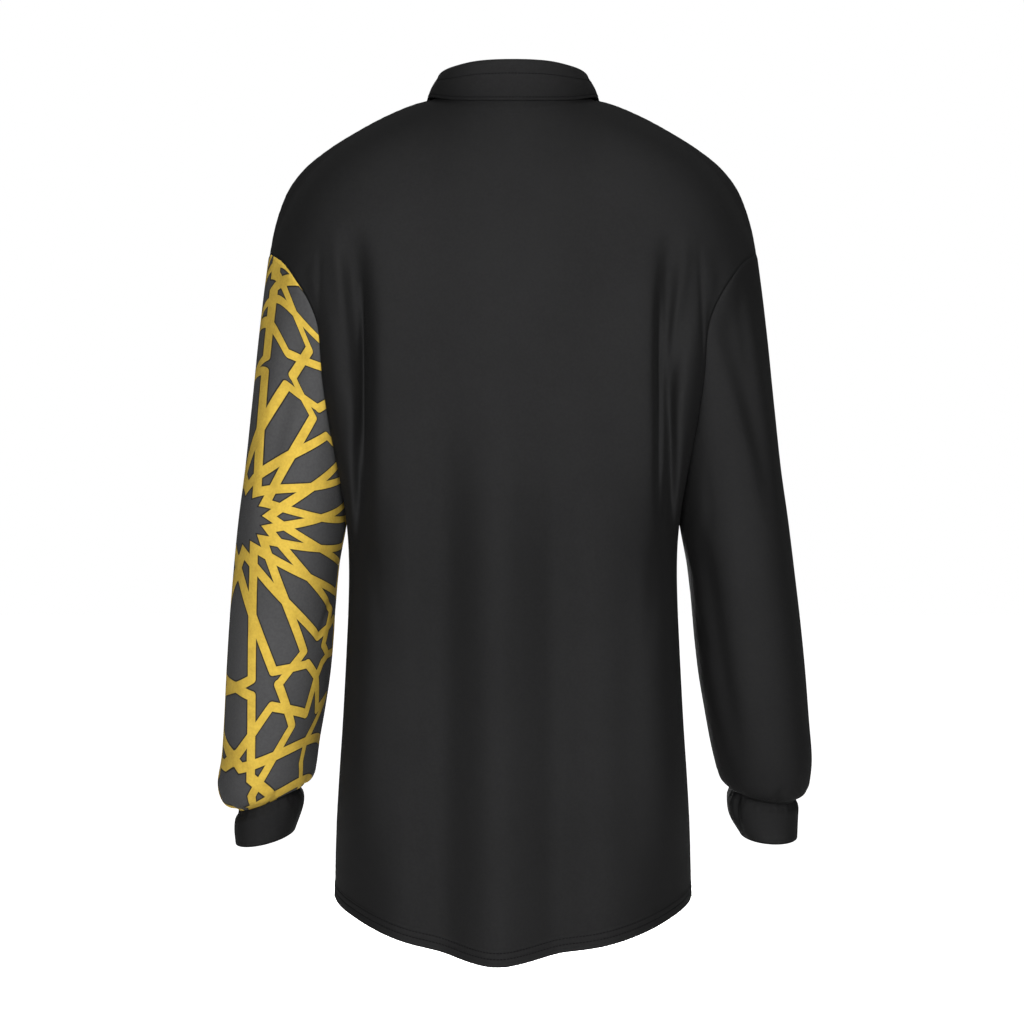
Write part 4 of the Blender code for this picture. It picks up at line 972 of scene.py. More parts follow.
def sleeveGrid(arm, armhole):  # rings from the armhole to the cuff
    rings = swung(arm)
    plain = ringPoints(ringBetween(rings, 0.0))
    shares = np.linspace(0, 1, len(plain) // 2 + 1)
    backSeam, frontSeam = armholeSeam(behind, shares), armholeSeam(before, shares)
    toSeam = np.concatenate([backSeam[:0:-1], frontSeam[:-1]]) - plain
    coarse = np.linspace(0, 1, sleeveShape["rows"] + 1)
    places = splitEach(coarse, sleeveShape["rowParts"])
    fades = 1 - smoothStep(places / sleeveShape["seamReach"])
    grid = np.array([ringPoints(ringBetween(rings, place)) for place in places])
    grid += toSeam * fades[:, None, None]
    lift = tubeLift(grid, places, sleeveShape["folds"][arm] + sleeveShape["creases"][arm])
    top, bottom = sleeveShape["flatEnds"]
    lift *= (smoothStep(places / top) * smoothStep((1 - places) / bottom))[:, None]
    grid = raisedTube(grid, lift, arm)
    grid[0] = armhole
    return grid


def finishTube(grid, top, bottom, underarm):  # seams drawn in at both ends and along the underarm
    facing = facingOf(grid[:, :-1], closed=True)
    facing = np.concatenate([facing, facing[:, :1]], axis=1)
    runs, climbs = runsAcross(grid), runsAlong(grid)
    lift = -underarm * bell(np.minimum(runs, runs[:, -1:] - runs), seamLook["width"])
    topWidth = seamLook["width"] if underarm else seamLook["cuffWidth"]
    pucker = 1 + seamLook["unevenness"] * wander(runs, seamLook["pucker"], 11)
    lift -= top * bell(climbs, topWidth) * pucker
    lift -= bottom * bell(climbs[-1:] - climbs, seamLook["blouse"])
    return grid + facing * lift[..., None]


cuffShape = {
    "wall": 0.0018,  # the cuffs are double
    "rings": {
        leftArm: (
            sleeveRing(0.2688, -0.6816, 0.2037, -0.6581, -0.040, 0.0373, 0.004),
            sleeveRing(0.2706, -0.6980, 0.2036, -0.6760, -0.043, 0.0355, 0.004),
            sleeveRing(0.2698, -0.7120, 0.2118, -0.7000, -0.046, 0.0340, 0.005),
        ),
        rightArm: (
            sleeveRing(0.2774, -0.6691, 0.2073, -0.6596, -0.040, 0.0373, 0.008),
            sleeveRing(0.2768, -0.6870, 0.2095, -0.6840, -0.043, 0.0355, 0.005),
            sleeveRing(0.2764, -0.7060, 0.2208, -0.7040, -0.046, 0.0345, 0.005),
        ),
    },
    "rows": 14,
    "creases": {
        leftArm: (sleeveFold(0.39, -0.80, 0.41, 1.05, 0.017, -0.0010),),
        rightArm: (
            sleeveFold(0.392, -0.90, 0.400, 1.05, 0.017, -0.0030),
            sleeveFold(0.80, -0.80, 0.78, 1.05, 0.024, -0.0016),
        ),
    },
}


def cuffGrid(arm):  # rings from the sleeve's end down
    places = np.linspace(0, 1, cuffShape["rows"] + 1)
    grid = np.array([ringPoints(ringBetween(cuffShape["rings"][arm], place)) for place in places])
    return raisedTube(grid, tubeLift(grid, places, cuffShape["creases"][arm]), arm)


# Where the printed cloth lies on the left sleeve. A mark is a crossing of the lattice's
# straps, read off the photo: its place in the lattice in centimetres, and where it
# shows, in millimetres beside the body's middle and below the shoulders. A guide keeps the
# print even where no crossing shows: degrees round the arm, and decimetres below the star.
printMark = namedtuple("printMark", "across level beside below weight", defaults=(1.0,))
printGuide = namedtuple("printGuide", "turn drop across level")
printFit = {
    "axisX": 0.2155, "axisLean": -0.113, "axisZ": -0.45, "halfWidth": 0.0495, "starDrop": 0.38,
    "axisDrops": (0.146, 0.40, 0.45, 0.497, 0.542, 0.588, 0.624, 0.68),
    "axisYs": (-0.003, 0.002, 0.0, -0.006, -0.013, -0.021, -0.029, -0.038),
    "deepDrops": (0.30, 0.45, 0.60, 0.65),
    "deep": (0.069, 0.066, 0.058, 0.050),
    "marks": (
        printMark(0, 3.64, 263, 433), printMark(1.39, 3.36, 249, 431),
        printMark(8.15, 5.44, 193, 454), printMark(5.44, 8.15, 215, 478),
        printMark(1.91, 9.61, 246, 495), printMark(11.74, 11.74, 174, 500),
        printMark(9.5, 14.2, 193, 523), printMark(12.25, 14.95, 179, 527),
        printMark(6.35, 15.34, 214, 544), printMark(10.05, 17.05, 193, 554),
        printMark(0, 16.6, 264, 563), printMark(3.32, 16.67, 238, 563),
        printMark(14.06, 19.56, 177, 572), printMark(6.04, 19.56, 217, 582),
        printMark(1.91, 20.99, 247, 595), printMark(9.6, 23.69, 197, 608),
        printMark(4.61, 23.69, 218, 621), printMark(0, 22.9, 264, 623),
        printMark(1.91, 23.69, 246, 630), printMark(2.7, 25.6, 238, 655),
        printMark(1.91, 27.51, 245, 675), printMark(16.6, 0, 159, 407),
        printMark(9.61, -1.91, 177, 405), printMark(8.15, -5.44, 187, 369),
        printMark(5.44, -8.15, 208, 332), printMark(6.92, -10.37, 197, 324),
        printMark(1.91, -9.61, 239, 306), printMark(7.6, -14.9, 192, 296),
        printMark(6.35, -15.34, 201, 282), printMark(3.32, -16.67, 225, 252),
        printMark(6.04, -19.56, 204, 246), printMark(7.1, -20.2, 196, 243),
        printMark(5.86, -23.1, 194, 230), printMark(1.91, -20.99, 230, 216, 2),
        printMark(4.61, -23.69, 206, 205, 2), printMark(1.91, -23.69, 228, 191, 2),
        printMark(2.7, -25.6, 218, 174, 2), printMark(4, -26.9, 207, 174, 2),
        printMark(1.91, -27.51, 224, 154, 2),
    ),
    "guides": (
        printGuide(-20, -1.6, -1.6, None), printGuide(-20, -0.5, -1.2, None),
        printGuide(-20, 0.8, -3, None), printGuide(-20, 2.4, -4.2, None),
        printGuide(3, -1.2, 0, None), printGuide(3, -2, -0.2, None),
        printGuide(15, 2.2, -2, None), printGuide(15, 3, -2.6, None),
        printGuide(30, 3, -1.7, None), printGuide(45, 3, -0.8, None),
        printGuide(90, -2, 7.5, None), printGuide(120, -2, 13, None),
        printGuide(165, 2.8, 16, 29), printGuide(170, 0, 17, -4.6),
        printGuide(170, -1.5, 23, -31), printGuide(170, -2.2, 26, -44),
    ),
    "guideWeight": 0.35,  # a mark has 1
    "stiffness": 0.02,  # holds back all but the even stretch and shift
    "turns": (-40, 90),  # degrees between which the stars' centre line lies
    "drops": (-3.0, 3.5),
}
printPowers = [(i, j) for i in range(4) for j in range(4) if i < 2 or j < 3]  # of turn and drop


def printTerms(turn, drop):  # the terms that the print's place is a sum of
    return np.stack([turn**i * drop**j for i, j in printPowers], axis=-1)


def armPlace(points):  # angle round the arm, and drop below the star in decimetres
    x, y, z = points[..., 0], points[..., 1], points[..., 2]
    axisX = printFit["axisX"] + printFit["axisLean"] * (z - printFit["axisZ"])
    axisY = np.interp(-z, printFit["axisDrops"], printFit["axisYs"])
    deep = np.interp(-z, printFit["deepDrops"], printFit["deep"])
    turn = np.arctan2((y - axisY) / deep, (x - axisX) / printFit["halfWidth"])
    return turn, (-z - printFit["starDrop"]) * 10


def seenFrom(points):  # where points show from the camera, in millimetres beside and below
    away = 1000 / (1 - points[:, 1] / cameraPlace[1])
    below = (cameraPlace[2] - points[:, 2]) * away - cameraPlace[2] * 1000
    return np.stack([points[:, 0] * away, below])


def fitPrint(sleeve):  # least squares through the marks, on the half that faces the camera
    shown = sleeve[:, sleeve.shape[1] // 2 :].reshape(-1, 3)
    beside, below = seenFrom(shown)
    marks = printFit["marks"]
    spots = [np.argmin(np.hypot(beside - mark.beside, below - mark.below)) for mark in marks]
    turn, drop = armPlace(shown[spots])
    turn = np.where(turn < -math.pi / 2, turn + 2 * math.pi, turn)
    stiff = np.diag([printFit["stiffness"] * (i + j > 1) for i, j in printPowers])
    fits = []
    for name in ("across", "level"):
        guides = [guide for guide in printFit["guides"] if getattr(guide, name) is not None]
        turns = np.append(turn, np.radians([guide.turn for guide in guides]))
        terms = printTerms(turns, np.append(drop, [guide.drop for guide in guides]))
        weights = [mark.weight for mark in marks] + [printFit["guideWeight"]] * len(guides)
        goals = np.array([getattr(row, name) for row in (*marks, *guides)])
        weighed = terms.T * weights
        fits.append(np.linalg.solve(weighed @ terms + stiff, weighed @ goals))
    return np.stack(fits, axis=-1)


def printPlace(sleeve):  # where each point of the sleeve lies in the lattice, in centimetres
    fits = fitPrint(sleeve)
    turn, drop = armPlace(sleeve)
    samples = np.radians(np.arange(*printFit["turns"], 1.0))
    drops = np.arange(*printFit["drops"], 0.1)
    crossing = []
    for level in drops:  # the angle where the stars' centre line lies at this height
        values = printTerms(samples, np.full(len(samples), level)) @ fits[:, 0]
        crossing.append(np.interp(0.0, values, samples))
    centre = np.interp(drop, drops, crossing)
    hidden = centre + (centre - turn) * (math.pi - centre) / (math.pi + centre)
    return printTerms(np.where(turn < centre, hidden, turn), drop) @ fits


for arm, name in sideNames.items():
    end = -1 if arm == leftArm else 0
    armhole = np.concatenate([front[armpitRow:, end], back[armpitRow:-1, end][::-1]])
    cuff, sleeve = cuffGrid(arm), sleeveGrid(arm, armhole)
    sleeve[-1] = cuff[0]
    sleeve = finishTube(sleeve, seamLook["depth"], seamLook["cuffDepth"], seamLook["underarm"])
    sleeve[0] = armhole
    cuff = finishTube(cuff, seamLook["cuffDepth"], 0.0, 0.0)
    cuff[0] = sleeve[-1]
    # The right sleeve takes the body's knit with deeper painted shade where it turns away.
    material = "printedKnit" if arm == leftArm else "sleeveKnit"
    prints = printPlace(sleeve) if arm == leftArm else None
    clothSheet(name + "SleeveCloth", sleeve, bodyShape["wall"], material, prints)
    clothSheet(name + "CuffCloth", cuff, cuffShape["wall"], "cuffKnit")
print("sleeves and cuffs done")

collarRow = namedtuple("collarRow", "turn lean stand fold edgeOut edgeDrop")
collarShape = {
    "wall": 0.0018,  # the collar is double
    # By the turn round the neck in degrees: 0 is centre back, 180 centre front.
    "profile": (
        collarRow(0.0, 0.0020, 0.0190, 0.0325, 0.0125, 0.0090),
        collarRow(25.0, 0.0030, 0.0185, 0.0312, 0.0125, 0.0080),
        collarRow(50.0, 0.0050, 0.0165, 0.0262, 0.0115, 0.0050),
        collarRow(90.0, 0.0075, 0.0120, 0.0198, 0.0090, 0.0005),
        collarRow(125.0, 0.0050, 0.0130, 0.0205, 0.0190, 0.0120),
        collarRow(155.0, 0.0035, 0.0145, 0.0215, 0.0250, 0.0300),
        collarRow(170.0, 0.0030, 0.0150, 0.0200, 0.0360, 0.0460),
    ),
    "fallEnd": 170.0,
    "standEnd": 190.0,  # both ends pass the centre front
    "lapTurns": (155.0, 169.0),
    "lapOut": 0.0028,  # how far out the left end is moved, to lie over the right end
    "foldRadius": 0.0034,
    "foldAngles": (180.0, 145.0, 110.0, 75.0, 40.0, 5.0),  # degrees round the fold
    "fallShares": (0.25, 0.5, 0.75, 1.0),  # from the fold to the outer edge
    "bow": 0.0015,  # how far the fall bows out between them
    "standRaise": 0.0009,  # clear space between the neckline and the stand
    "fallLift": 0.0007,  # clear space under the fall where it lies on the shirt
    "liftAngles": (20.0, 60.0),  # degrees above level, behind and at the side
    "landing": 0.0002,  # clear space under the fall's outer edge at the back
    "landAngle": 50.0,
    "landingTurns": (55.0, 100.0),  # up to the first turn the edge lies on the shirt
    "landingShares": (0.2, 0.45, 0.72, 1.0),
    "rayStart": 0.1,  # how far out a ray starts, and how far past the collar it looks
    "rayPast": 0.015,
    "edgeRise": 0.0036,  # how much shorter the fall hangs at centre back than the solid
    "sideRise": 0.0038,  # and how much more towards the shoulders
    "ridgeRow": 22,  # row of the fall sewn through below the fold
    "ridgeWidth": 0.0010,
    "ridgeGroove": 0.0003,
    "edgeGroove": 0.0002,
    "turnStep": 2.5,  # degrees between sections of the mesh
    "evenedFrom": 8,  # first row that is evened round the neck
    "evenedPasses": 6,
    "standRows": 6,
    "fallRows": 40,
    "stitch": 0.0032,  # from the fall's outer edge to its stitching
}


def treeOf(*pieces):  # what the collar, the placket and the buttons are laid on
    bm = bmesh.new()
    for piece in pieces:
        bm.from_mesh(piece.data)
    tree = BVHTree.FromBMesh(bm)
    bm.free()
    return tree


def neckOut(turn):  # the level direction out from the neckline
    step = neckPoint(turn, 0.01) - neckPoint(turn)
    return unit(step * np.array([1.0, 1.0, 0.0]))


def collarAt(turn):  # the collar's profile at any turn
    profile = collarShape["profile"]
    keys = [-row.turn for row in profile[:0:-1]] + [row.turn for row in profile]
    values = [tuple(row) for row in profile[:0:-1] + profile]
    return collarRow(*through(keys, values, min(turn, collarShape["fallEnd"]))[0])


def lapOut(turn):  # how far the stand's left end is moved out over its right end
    start, end = collarShape["lapTurns"]
    return collarShape["lapOut"] * smoothStep((turn - start) / (end - start))


def standPoint(turn, share):
    shape = collarAt(min(abs(turn), 360.0 - abs(turn)))
    out = neckOut(turn) * (lapOut(turn) - shape.lean * share)
    raised = collarShape["standRaise"] + share * shape.stand
    return neckPoint(turn) + out + np.array([0.0, 0.0, raised])


def liftedOff(point, tree, ray, clear):  # moved out where it comes nearer to the shirt than clear
    away = collarShape["rayStart"]
    spot, _, _, distance = tree.ray_cast(Vector(point) + ray * away, -ray)
    if spot is None or distance - away >= clear:
        return point
    return np.array(spot + ray * clear)


def laidOn(point, tree, ray, clear):  # brought down on the shirt, or up, to lie clear of it
    away = collarShape["rayStart"]
    spot = tree.ray_cast(Vector(point) + ray * away, -ray, away + collarShape["rayPast"])[0]
    return point if spot is None else np.array(spot + ray * clear)


def turnsTo(end):  # degrees round the neck, at every column of the mesh
    step = collarShape["turnStep"]
    return np.arange(-end, end + step / 2, step)


def standGrid():  # columns round the neck, rows from the neckline up
    turns = turnsTo(collarShape["standEnd"])
    shares = np.linspace(0, 1, collarShape["standRows"] + 1)
    return np.array([[standPoint(turn, share) for turn in turns] for share in shares])


def fallProfile(turn, tree):  # from the stand's top over the fold to the outer edge
    shape = collarAt(abs(turn))
    out, up = neckOut(abs(turn)), np.array([0.0, 0.0, 1.0])
    base = neckPoint(abs(turn)) + out * lapOut(turn)
    radius = collarShape["foldRadius"]
    roll = base + out * (radius - shape.lean) + up * (shape.fold - radius)
    profile = [base - out * shape.lean + up * (shape.stand + collarShape["standRaise"])]
    for angle in collarShape["foldAngles"]:
        a = math.radians(angle)
        profile.append(roll + radius * (out * math.cos(a) + up * math.sin(a)))
    start, end = profile[-1], base + out * shape.edgeOut - up * shape.edgeDrop
    first = len(profile) - 1
    for share in collarShape["fallShares"]:
        bow = out * collarShape["bow"] * math.sin(math.pi * share)
        profile.append(start + (end - start) * share + bow)
    sideways = math.sin(math.radians(abs(turn)))

    def outward(degrees):
        return Vector(out * math.cos(math.radians(degrees)) + up * math.sin(math.radians(degrees)))

    atBack, atSide = collarShape["liftAngles"]
    ray = outward(atBack + (atSide - atBack) * sideways)
    clear = collarShape["wall"] + collarShape["fallLift"] * (1 + sideways**4)
    for index in range(first, len(profile)):
        profile[index] = liftedOff(profile[index], tree, ray, clear)
    # The outer edge comes down on the shirt, and takes the rest of the fall along.
    full, none = collarShape["landingTurns"]
    landing = smoothStep((none - abs(turn)) / (none - full))
    lifted = profile[-1]
    edge = lifted + up * (collarShape["edgeRise"] + collarShape["sideRise"] * sideways**2) * landing
    ray = outward(collarShape["landAngle"] * sideways**2)
    spot = laidOn(edge, tree, ray, collarShape["wall"] + collarShape["landing"])
    for index, share in enumerate(collarShape["landingShares"], start=first + 1):
        profile[index] = profile[index] + (spot - lifted) * share * landing
    fine = evenly(profile, np.linspace(0, 1, collarShape["fallRows"] + 1))
    return fine * np.array([math.copysign(1.0, turn), 1.0, 1.0])


def fallGrid(tree):  # its outer part is evened round the neck
    profiles = [fallProfile(turn, tree) for turn in turnsTo(collarShape["fallEnd"])]
    grid = np.array(profiles).transpose(1, 0, 2)
    outer = grid[collarShape["evenedFrom"] :]
    for _ in range(collarShape["evenedPasses"]):
        outer[:, 1:-1] += ((outer[:, :-2] + outer[:, 2:]) / 2 - outer[:, 1:-1]) * 0.5
    return grid


def finishFall(grid):  # grooves under both lines of stitches
    climbs, runs = runsAlong(grid), runsAcross(grid)
    fromFront = np.minimum(runs, runs[:, -1:] - runs)
    fromEdge = np.minimum(climbs[-1:] - climbs, fromFront)
    fromEdge, fromRidge = fromEdge - collarShape["stitch"], climbs - climbs[collarShape["ridgeRow"]]
    lift = -collarShape["edgeGroove"] * bell(fromEdge, seamLook["grooveWidth"])
    lift -= collarShape["ridgeGroove"] * bell(fromRidge, collarShape["ridgeWidth"])
    return grid + facingOf(grid) * lift[..., None]


bodyTree = treeOf(shirt["backCloth"], shirt["frontCloth"])
stand, fall = standGrid(), finishFall(fallGrid(bodyTree))
clothSheet("standCloth", stand, collarShape["wall"], "collarKnit")
clothSheet("fallCloth", fall, collarShape["wall"], "collarKnit")
print("collar done")

placketShape = {
    "width": 0.030,
    "length": 0.150,
    "top": 0.002,  # how far below the neckline it starts
    "lift": 0.0006,  # clear space between the placket and the front panel
    "rows": 75,
    "columns": 16,
    "stitch": 0.0022,  # from the placket's edges to its stitching
    "box": 0.0140,  # height of the stitched box at its foot
}


def frontSpot(tree, x, depth):  # where the front panel is, seen from in front
    start = Vector((x, -1.0, neckPoint(180.0)[2] - depth))
    spot, normal, _, _ = tree.ray_cast(start, Vector((0.0, 1.0, 0.0)))
    return spot, normal if normal.y < 0 else -normal


def placketGrid(tree):  # laid on the front panel, from its foot up
    half, out = placketShape["width"] / 2, placketShape["lift"] + bodyShape["wall"]
    depths = np.linspace(placketShape["length"], placketShape["top"], placketShape["rows"] + 1)
    places = np.linspace(-half, half, placketShape["columns"] + 1)
    spots = [[frontSpot(tree, x, depth) for x in places] for depth in depths]
    return np.array([[spot + normal * out for spot, normal in row] for row in spots])


placket = placketGrid(bodyTree)
clothSheet("placketCloth", placket, bodyShape["wall"], "blackKnit")
print("placket done")

stitchLook = {
    "pitch": 0.0031, "length": 0.0026, "radius": 0.00042, "sides": 6, "rings": 4,
    "raised": 0.1,  # how far a bead stands out, in radii
    "clearEnds": 2,  # points left free at both ends of the collar's lines
}


def sewLine(bm, points, normals):  # one bead for each stitch along a line on the cloth
    sizes = ("radius", "pitch", "sides", "rings")
    radius, pitch, sides, rings = (stitchLook[size] for size in sizes)
    bead = bmesh.new()
    bmesh.ops.create_uvsphere(bead, u_segments=sides, v_segments=rings, radius=1.0)
    bmesh.ops.scale(bead, vec=(radius, radius, stitchLook["length"] / 2), verts=bead.verts)
    shape = bpy.data.meshes.new("bead")
    bead.to_mesh(shape)
    bead.free()
    run = runOf(points)
    places = np.arange(pitch / 2, run[-1], pitch)
    spots, outs = through(run, points, places), unit(through(run, normals, places))
    for spot, out, way in zip(spots, outs, unit(np.gradient(spots, axis=0))):
        turn = Matrix(np.stack([np.cross(out, way), out, way], axis=1).tolist()).to_4x4()
        place = Matrix.Translation(Vector(spot + out * radius * stitchLook["raised"])) @ turn
        shape.transform(place)
        bm.from_mesh(shape)
        shape.transform(place.inverted())
    bpy.data.meshes.remove(shape)


def lineAbove(grid, height):  # points at one height above a grid's first row
    climbs = runsAlong(grid)
    return np.array([
        [np.interp(height, climbs[:, column], grid[:, column, axis]) for axis in range(3)]
        for column in range(grid.shape[1])
    ])


def sewnPiece(name, lines):  # lines of stitches as one piece
    bm = bmesh.new()
    for points, normals in lines:
        sewLine(bm, points, normals)
    mesh = bpy.data.meshes.new(name)
    bm.to_mesh(mesh)
    bm.free()
    stitches[name] = showObject(name, mesh, "thread")


for face, name in ((behind, "back"), (before, "front")):
    sewnPiece(name + "HemStitches", [
        (lineAbove(panels[face], height), facing[face][0]) for height in bodyShape["hemStitches"]
    ])
fallFacing, ridge = facingOf(fall), collarShape["ridgeRow"]
sewn = np.s_[stitchLook["clearEnds"] : -stitchLook["clearEnds"]]
edgeLine = lineAbove(fall[::-1], collarShape["stitch"])
sewnPiece("collarStitches", [
    (edgeLine[sewn], fallFacing[-2][sewn]), (fall[ridge][sewn], fallFacing[ridge][sewn])
])
placketFacing, strip = facingOf(placket), placket.transpose(1, 0, 2)
side, box = placketShape["stitch"], placketShape["box"]
sewnPiece("placketStitches", [
    (lineAbove(strip, side), placketFacing[:, 2]),
    (lineAbove(strip[::-1], side), placketFacing[:, -3]),
    (lineAbove(placket, side)[1:-1], placketFacing[2][1:-1]),
    (lineAbove(placket, box)[1:-1], placketFacing[6][1:-1]),
])
print("stitches done")

buttonShape = {
    "radius": 0.0057,
    "thick": 0.0026,
    # Half section from the middle of the underside round the rim to the dish, in radii and
    # thicknesses.
    "profile": (
        (0.0, 0.0), (0.80, 0.0), (0.92, 0.10), (0.99, 0.32), (1.0, 0.55), (0.97, 0.80),
        (0.91, 0.96), (0.84, 1.0), (0.76, 0.98), (0.68, 0.88), (0.61, 0.76), (0.52, 0.71),
        (0.0, 0.70),
    ),
    "steps": 40,  # round the button
    "holeSides": 16,
    "holeRadius": 0.00075,
    "holeApart": 0.0012,
    "threadRadius": 0.00035,
    "threadAt": 0.74,  # height of the thread, in thicknesses
    "lift": 0.0006,  # clear space under a button, where its thread is
    "depths": (0.052, 0.104),  # below the neckline; the first button sits on the stand
}


def buttonMesh(name):  # turned on its axis, then four holes are cut
    sizes = ("radius", "thick", "holeApart", "holeRadius")
    radius, thick, apart, hole = (buttonShape[size] for size in sizes)
    bm = bmesh.new()
    ring = [bm.verts.new((radius * r, 0.0, thick * z)) for r, z in buttonShape["profile"]]
    edges = [bm.edges.new(pair) for pair in zip(ring, ring[1:])]
    bmesh.ops.spin(
        bm, geom=ring + edges, cent=(0, 0, 0), axis=(0, 0, 1), angle=2 * math.pi,
        steps=buttonShape["steps"], use_merge=True,
    )
    bmesh.ops.remove_doubles(bm, verts=bm.verts, dist=0.00001)
    bmesh.ops.recalc_face_normals(bm, faces=bm.faces)
    holes = bmesh.new()
    for x in (-apart, apart):
        for y in (-apart, apart):
            bmesh.ops.create_cone(
                holes, cap_ends=True, segments=buttonShape["holeSides"], radius1=hole, radius2=hole,
                depth=thick * 3, matrix=Matrix.Translation((x, y, thick / 2)),
            )
    spares = []
    for spareName, shape in ((name, bm), ("holes", holes)):
        mesh = bpy.data.meshes.new(spareName)
        shape.to_mesh(mesh)
        shape.free()
        spares.append(bpy.data.objects.new(spareName, mesh))
        bpy.context.scene.collection.objects.link(spares[-1])
    whole, cutter = spares
    cut = whole.modifiers.new("holes", "BOOLEAN")
    cut.object, cut.operation, cut.solver = cutter, "DIFFERENCE", "EXACT"
    evaluated = whole.evaluated_get(bpy.context.evaluated_depsgraph_get())
    mesh = bpy.data.meshes.new_from_object(evaluated)
    for spare in spares:
        bpy.data.objects.remove(spare)
    return mesh


def buttonThread(bm, matrix):  # two short bars through the holes
    apart, thin = buttonShape["holeApart"], buttonShape["threadRadius"]
    height = buttonShape["thick"] * buttonShape["threadAt"]
    for y in (-apart, apart):
        bar = bmesh.ops.create_uvsphere(bm, u_segments=8, v_segments=6, radius=1.0)["verts"]
        bmesh.ops.scale(bm, vec=(apart * 1.25, thin, thin * 1.3), verts=bar)
        bmesh.ops.translate(bm, vec=(0, y, height), verts=bar)
        bmesh.ops.transform(bm, matrix=matrix, verts=bar)


standUp = unit(standPoint(180.0, 1.0) - standPoint(180.0, 0.0))
out = neckOut(180.0)
standFacing = unit(out - standUp * (out @ standUp))
seats = [(standPoint(180.0, 0.5) + standFacing * buttonShape["lift"], standFacing)]
for depth in buttonShape["depths"]:
    spot, normal = frontSpot(bodyTree, 0.0, depth)
    lift = placketShape["lift"] + bodyShape["wall"] + buttonShape["lift"]
    seats.append((np.array(spot + normal * lift), np.array(normal)))
threads = bmesh.new()
buttons = []
for number, (seat, normal) in enumerate(seats, start=1):
    turn = Vector(normal).to_track_quat("Z", "Y").to_matrix().to_4x4()
    place = Matrix.Translation(Vector(seat)) @ turn
    mesh = buttonMesh(f"button{number}")
    mesh.transform(place)
    buttons.append(showObject(f"button{number}", mesh, "button"))
    buttonThread(threads, place)
threadMesh = bpy.data.meshes.new("buttonThreads")
threads.to_mesh(threadMesh)
threads.free()
stitches["buttonThreads"] = showObject("buttonThreads", threadMesh, "thread")
print("buttons done")

# What each piece stands for, and the flat cut of what shows: width, length and area, how it
# is held, what it hangs from and the sewing that it carries.
cutPiece = namedtuple("cutPiece", "node slot width length area held hangsFrom sewing")
cutPieces = {
    "backCloth": cutPiece(
        "back", "black_knit", 0.684, 0.817, 0.355, "hung", ["standCloth"], ["backHemStitches"]
    ),
    "frontCloth": cutPiece(
        "front", "black_knit", 0.700, 0.815, 0.345, "hung", ["standCloth"], ["frontHemStitches"]
    ),
    "leftSleeveCloth": cutPiece(
        "sleeve_left", "printed_knit", 0.656, 0.549, 0.1545, "hung", ["backCloth", "frontCloth"], []
    ),
    "rightSleeveCloth": cutPiece(
        "sleeve_right", "black_knit", 0.656, 0.534, 0.1530, "hung", ["backCloth", "frontCloth"], []
    ),
    "leftCuffCloth": cutPiece(
        "cuff_left", "cuff_knit", 0.227, 0.048, 0.0085, "hung", ["leftSleeveCloth"], []
    ),
    "rightCuffCloth": cutPiece(
        "cuff_right", "cuff_knit", 0.227, 0.051, 0.0097, "hung", ["rightSleeveCloth"], []
    ),
    "standCloth": cutPiece(
        "collar_stand", "collar_knit", 0.528, 0.019, 0.0074, "stretched",
        ["backCloth", "frontCloth"], [],
    ),
    "fallCloth": cutPiece(
        "collar_fall", "collar_knit", 0.593, 0.082, 0.0231, "folded",
        ["standCloth"], ["collarStitches"],
    ),
    "placketCloth": cutPiece(
        "placket", "black_knit", 0.030, 0.154, None, "laid", ["frontCloth"], ["placketStitches"]
    ),
}


# Puts a piece on its body, and in the place of the solid that it stands for.
def settle(piece, node=None):
    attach(piece, "root")
    if node:
        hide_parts(node)


for name, cut in cutPieces.items():
    settle(shirt[name], cut.node)
for number, button in enumerate(buttons, start=1):
    settle(button, f"button_{number}")
for name, piece in stitches.items():
    settle(piece)
print("pieces settled:", len(shirt) + len(buttons) + len(stitches))

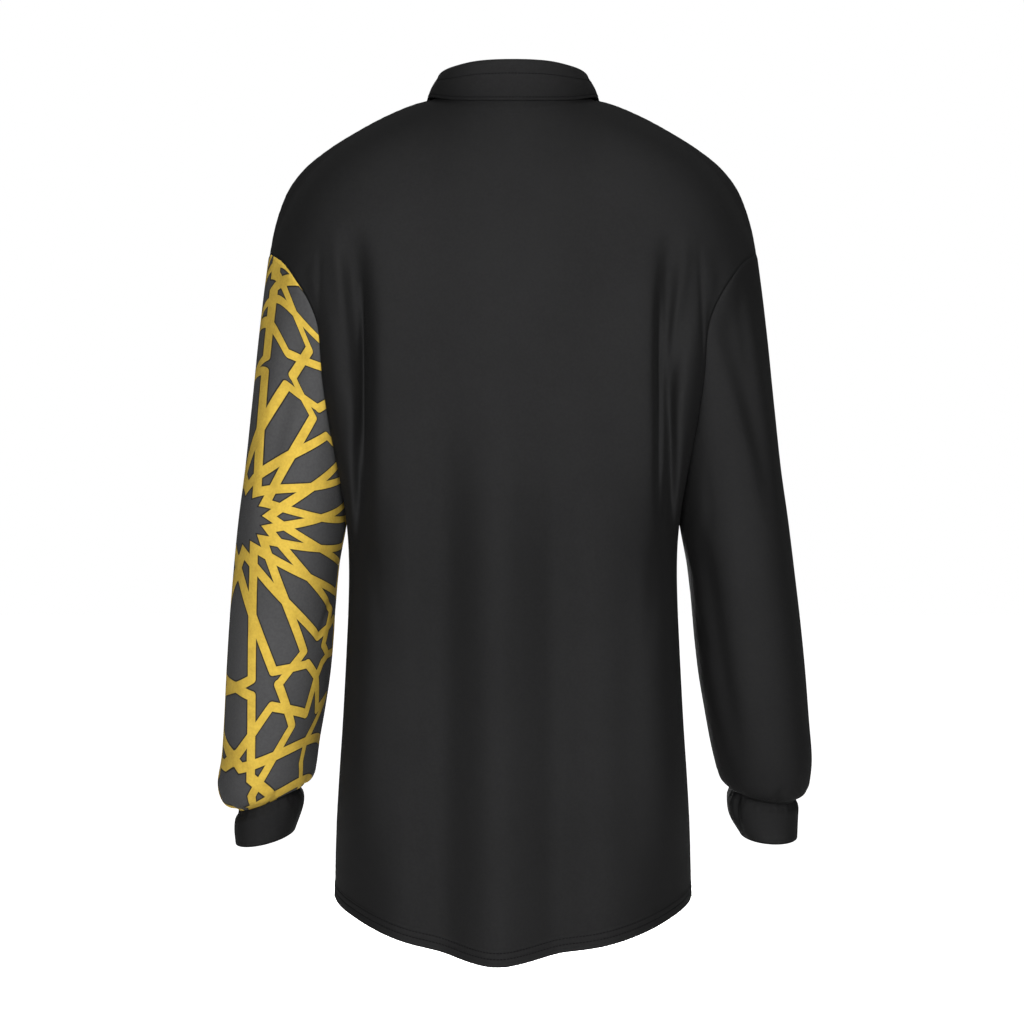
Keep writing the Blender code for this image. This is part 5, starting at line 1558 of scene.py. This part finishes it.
studio = {
    "floorZ": -1.25,
    "floorSize": 14.0,
    "floorGlow": 1.0,
    "seen": 1.0,  # the pale surround as the camera sees it, and as it lights the cloth
    "ambient": 0.10,
    "sensor": 36.0,
    "halfAngle": 15.0,  # of the camera's view, in degrees
}
softbox = namedtuple("softbox", "place size power")
softboxes = {
    "keyLight": softbox((-0.45, 2.5, 0.25), 0.7, 52.0),
    "fillLight": softbox((0.55, 2.4, -0.1), 0.7, 34.0),
    "topLight": softbox((0.0, 0.7, 1.5), 1.0, 28.0),
    "frontLight": softbox((0.3, -2.7, 0.2), 0.8, 105.0),
}

floorShape = bmesh.new()
bmesh.ops.create_grid(floorShape, x_segments=1, y_segments=1, size=studio["floorSize"])
bmesh.ops.translate(floorShape, vec=(0, 0, studio["floorZ"]), verts=floorShape.verts)
floorMesh = bpy.data.meshes.new("floor")
floorShape.to_mesh(floorMesh)
floorShape.free()
floorTree = materials["floor"].node_tree
floorSurface = floorTree.nodes["Principled BSDF"].inputs
floorSurface["Emission Color"].default_value = (1.0, 1.0, 1.0, 1.0)
floorSeen = addNode(floorTree, "LightPath", {})["Is Camera Ray"]
floorGlow = calc(floorTree, "MULTIPLY", floorSeen, studio["floorGlow"])
floorTree.links.new(floorGlow, floorSurface["Emission Strength"])
showObject("floor", floorMesh, "floor")

scene = bpy.context.scene
scene.world = bpy.data.worlds.new("studio")
scene.world.use_nodes = True
surround = scene.world.node_tree
background = surround.nodes["Background"].inputs
background["Color"].default_value = (1.0, 1.0, 1.0, 1.0)
seen = addNode(surround, "LightPath", {})["Is Camera Ray"]
levels = {"Value": seen, "To Min": studio["ambient"], "To Max": studio["seen"]}
surround.links.new(addNode(surround, "MapRange", levels)[0], background["Strength"])
scene.view_settings.view_transform = "Standard"

for name, box in softboxes.items():
    lamp = bpy.data.lights.new(name, "AREA")
    lamp.energy, lamp.size = box.power, box.size
    holder = bpy.data.objects.new(name, lamp)
    holder.location = box.place
    aim = Vector((0, 0, cameraPlace[2])) - holder.location
    holder.rotation_euler = aim.to_track_quat("-Z", "Y").to_euler()
    scene.collection.objects.link(holder)

lens = bpy.data.cameras.new("camera")
lens.sensor_width = studio["sensor"]
lens.lens = lens.sensor_width / 2 / math.tan(math.radians(studio["halfAngle"]))
camera = bpy.data.objects.new("camera", lens)
camera.location = cameraPlace
camera.rotation_euler = (math.radians(90), 0, math.radians(180))
scene.collection.objects.link(camera)
scene.camera = camera
print("studio done")
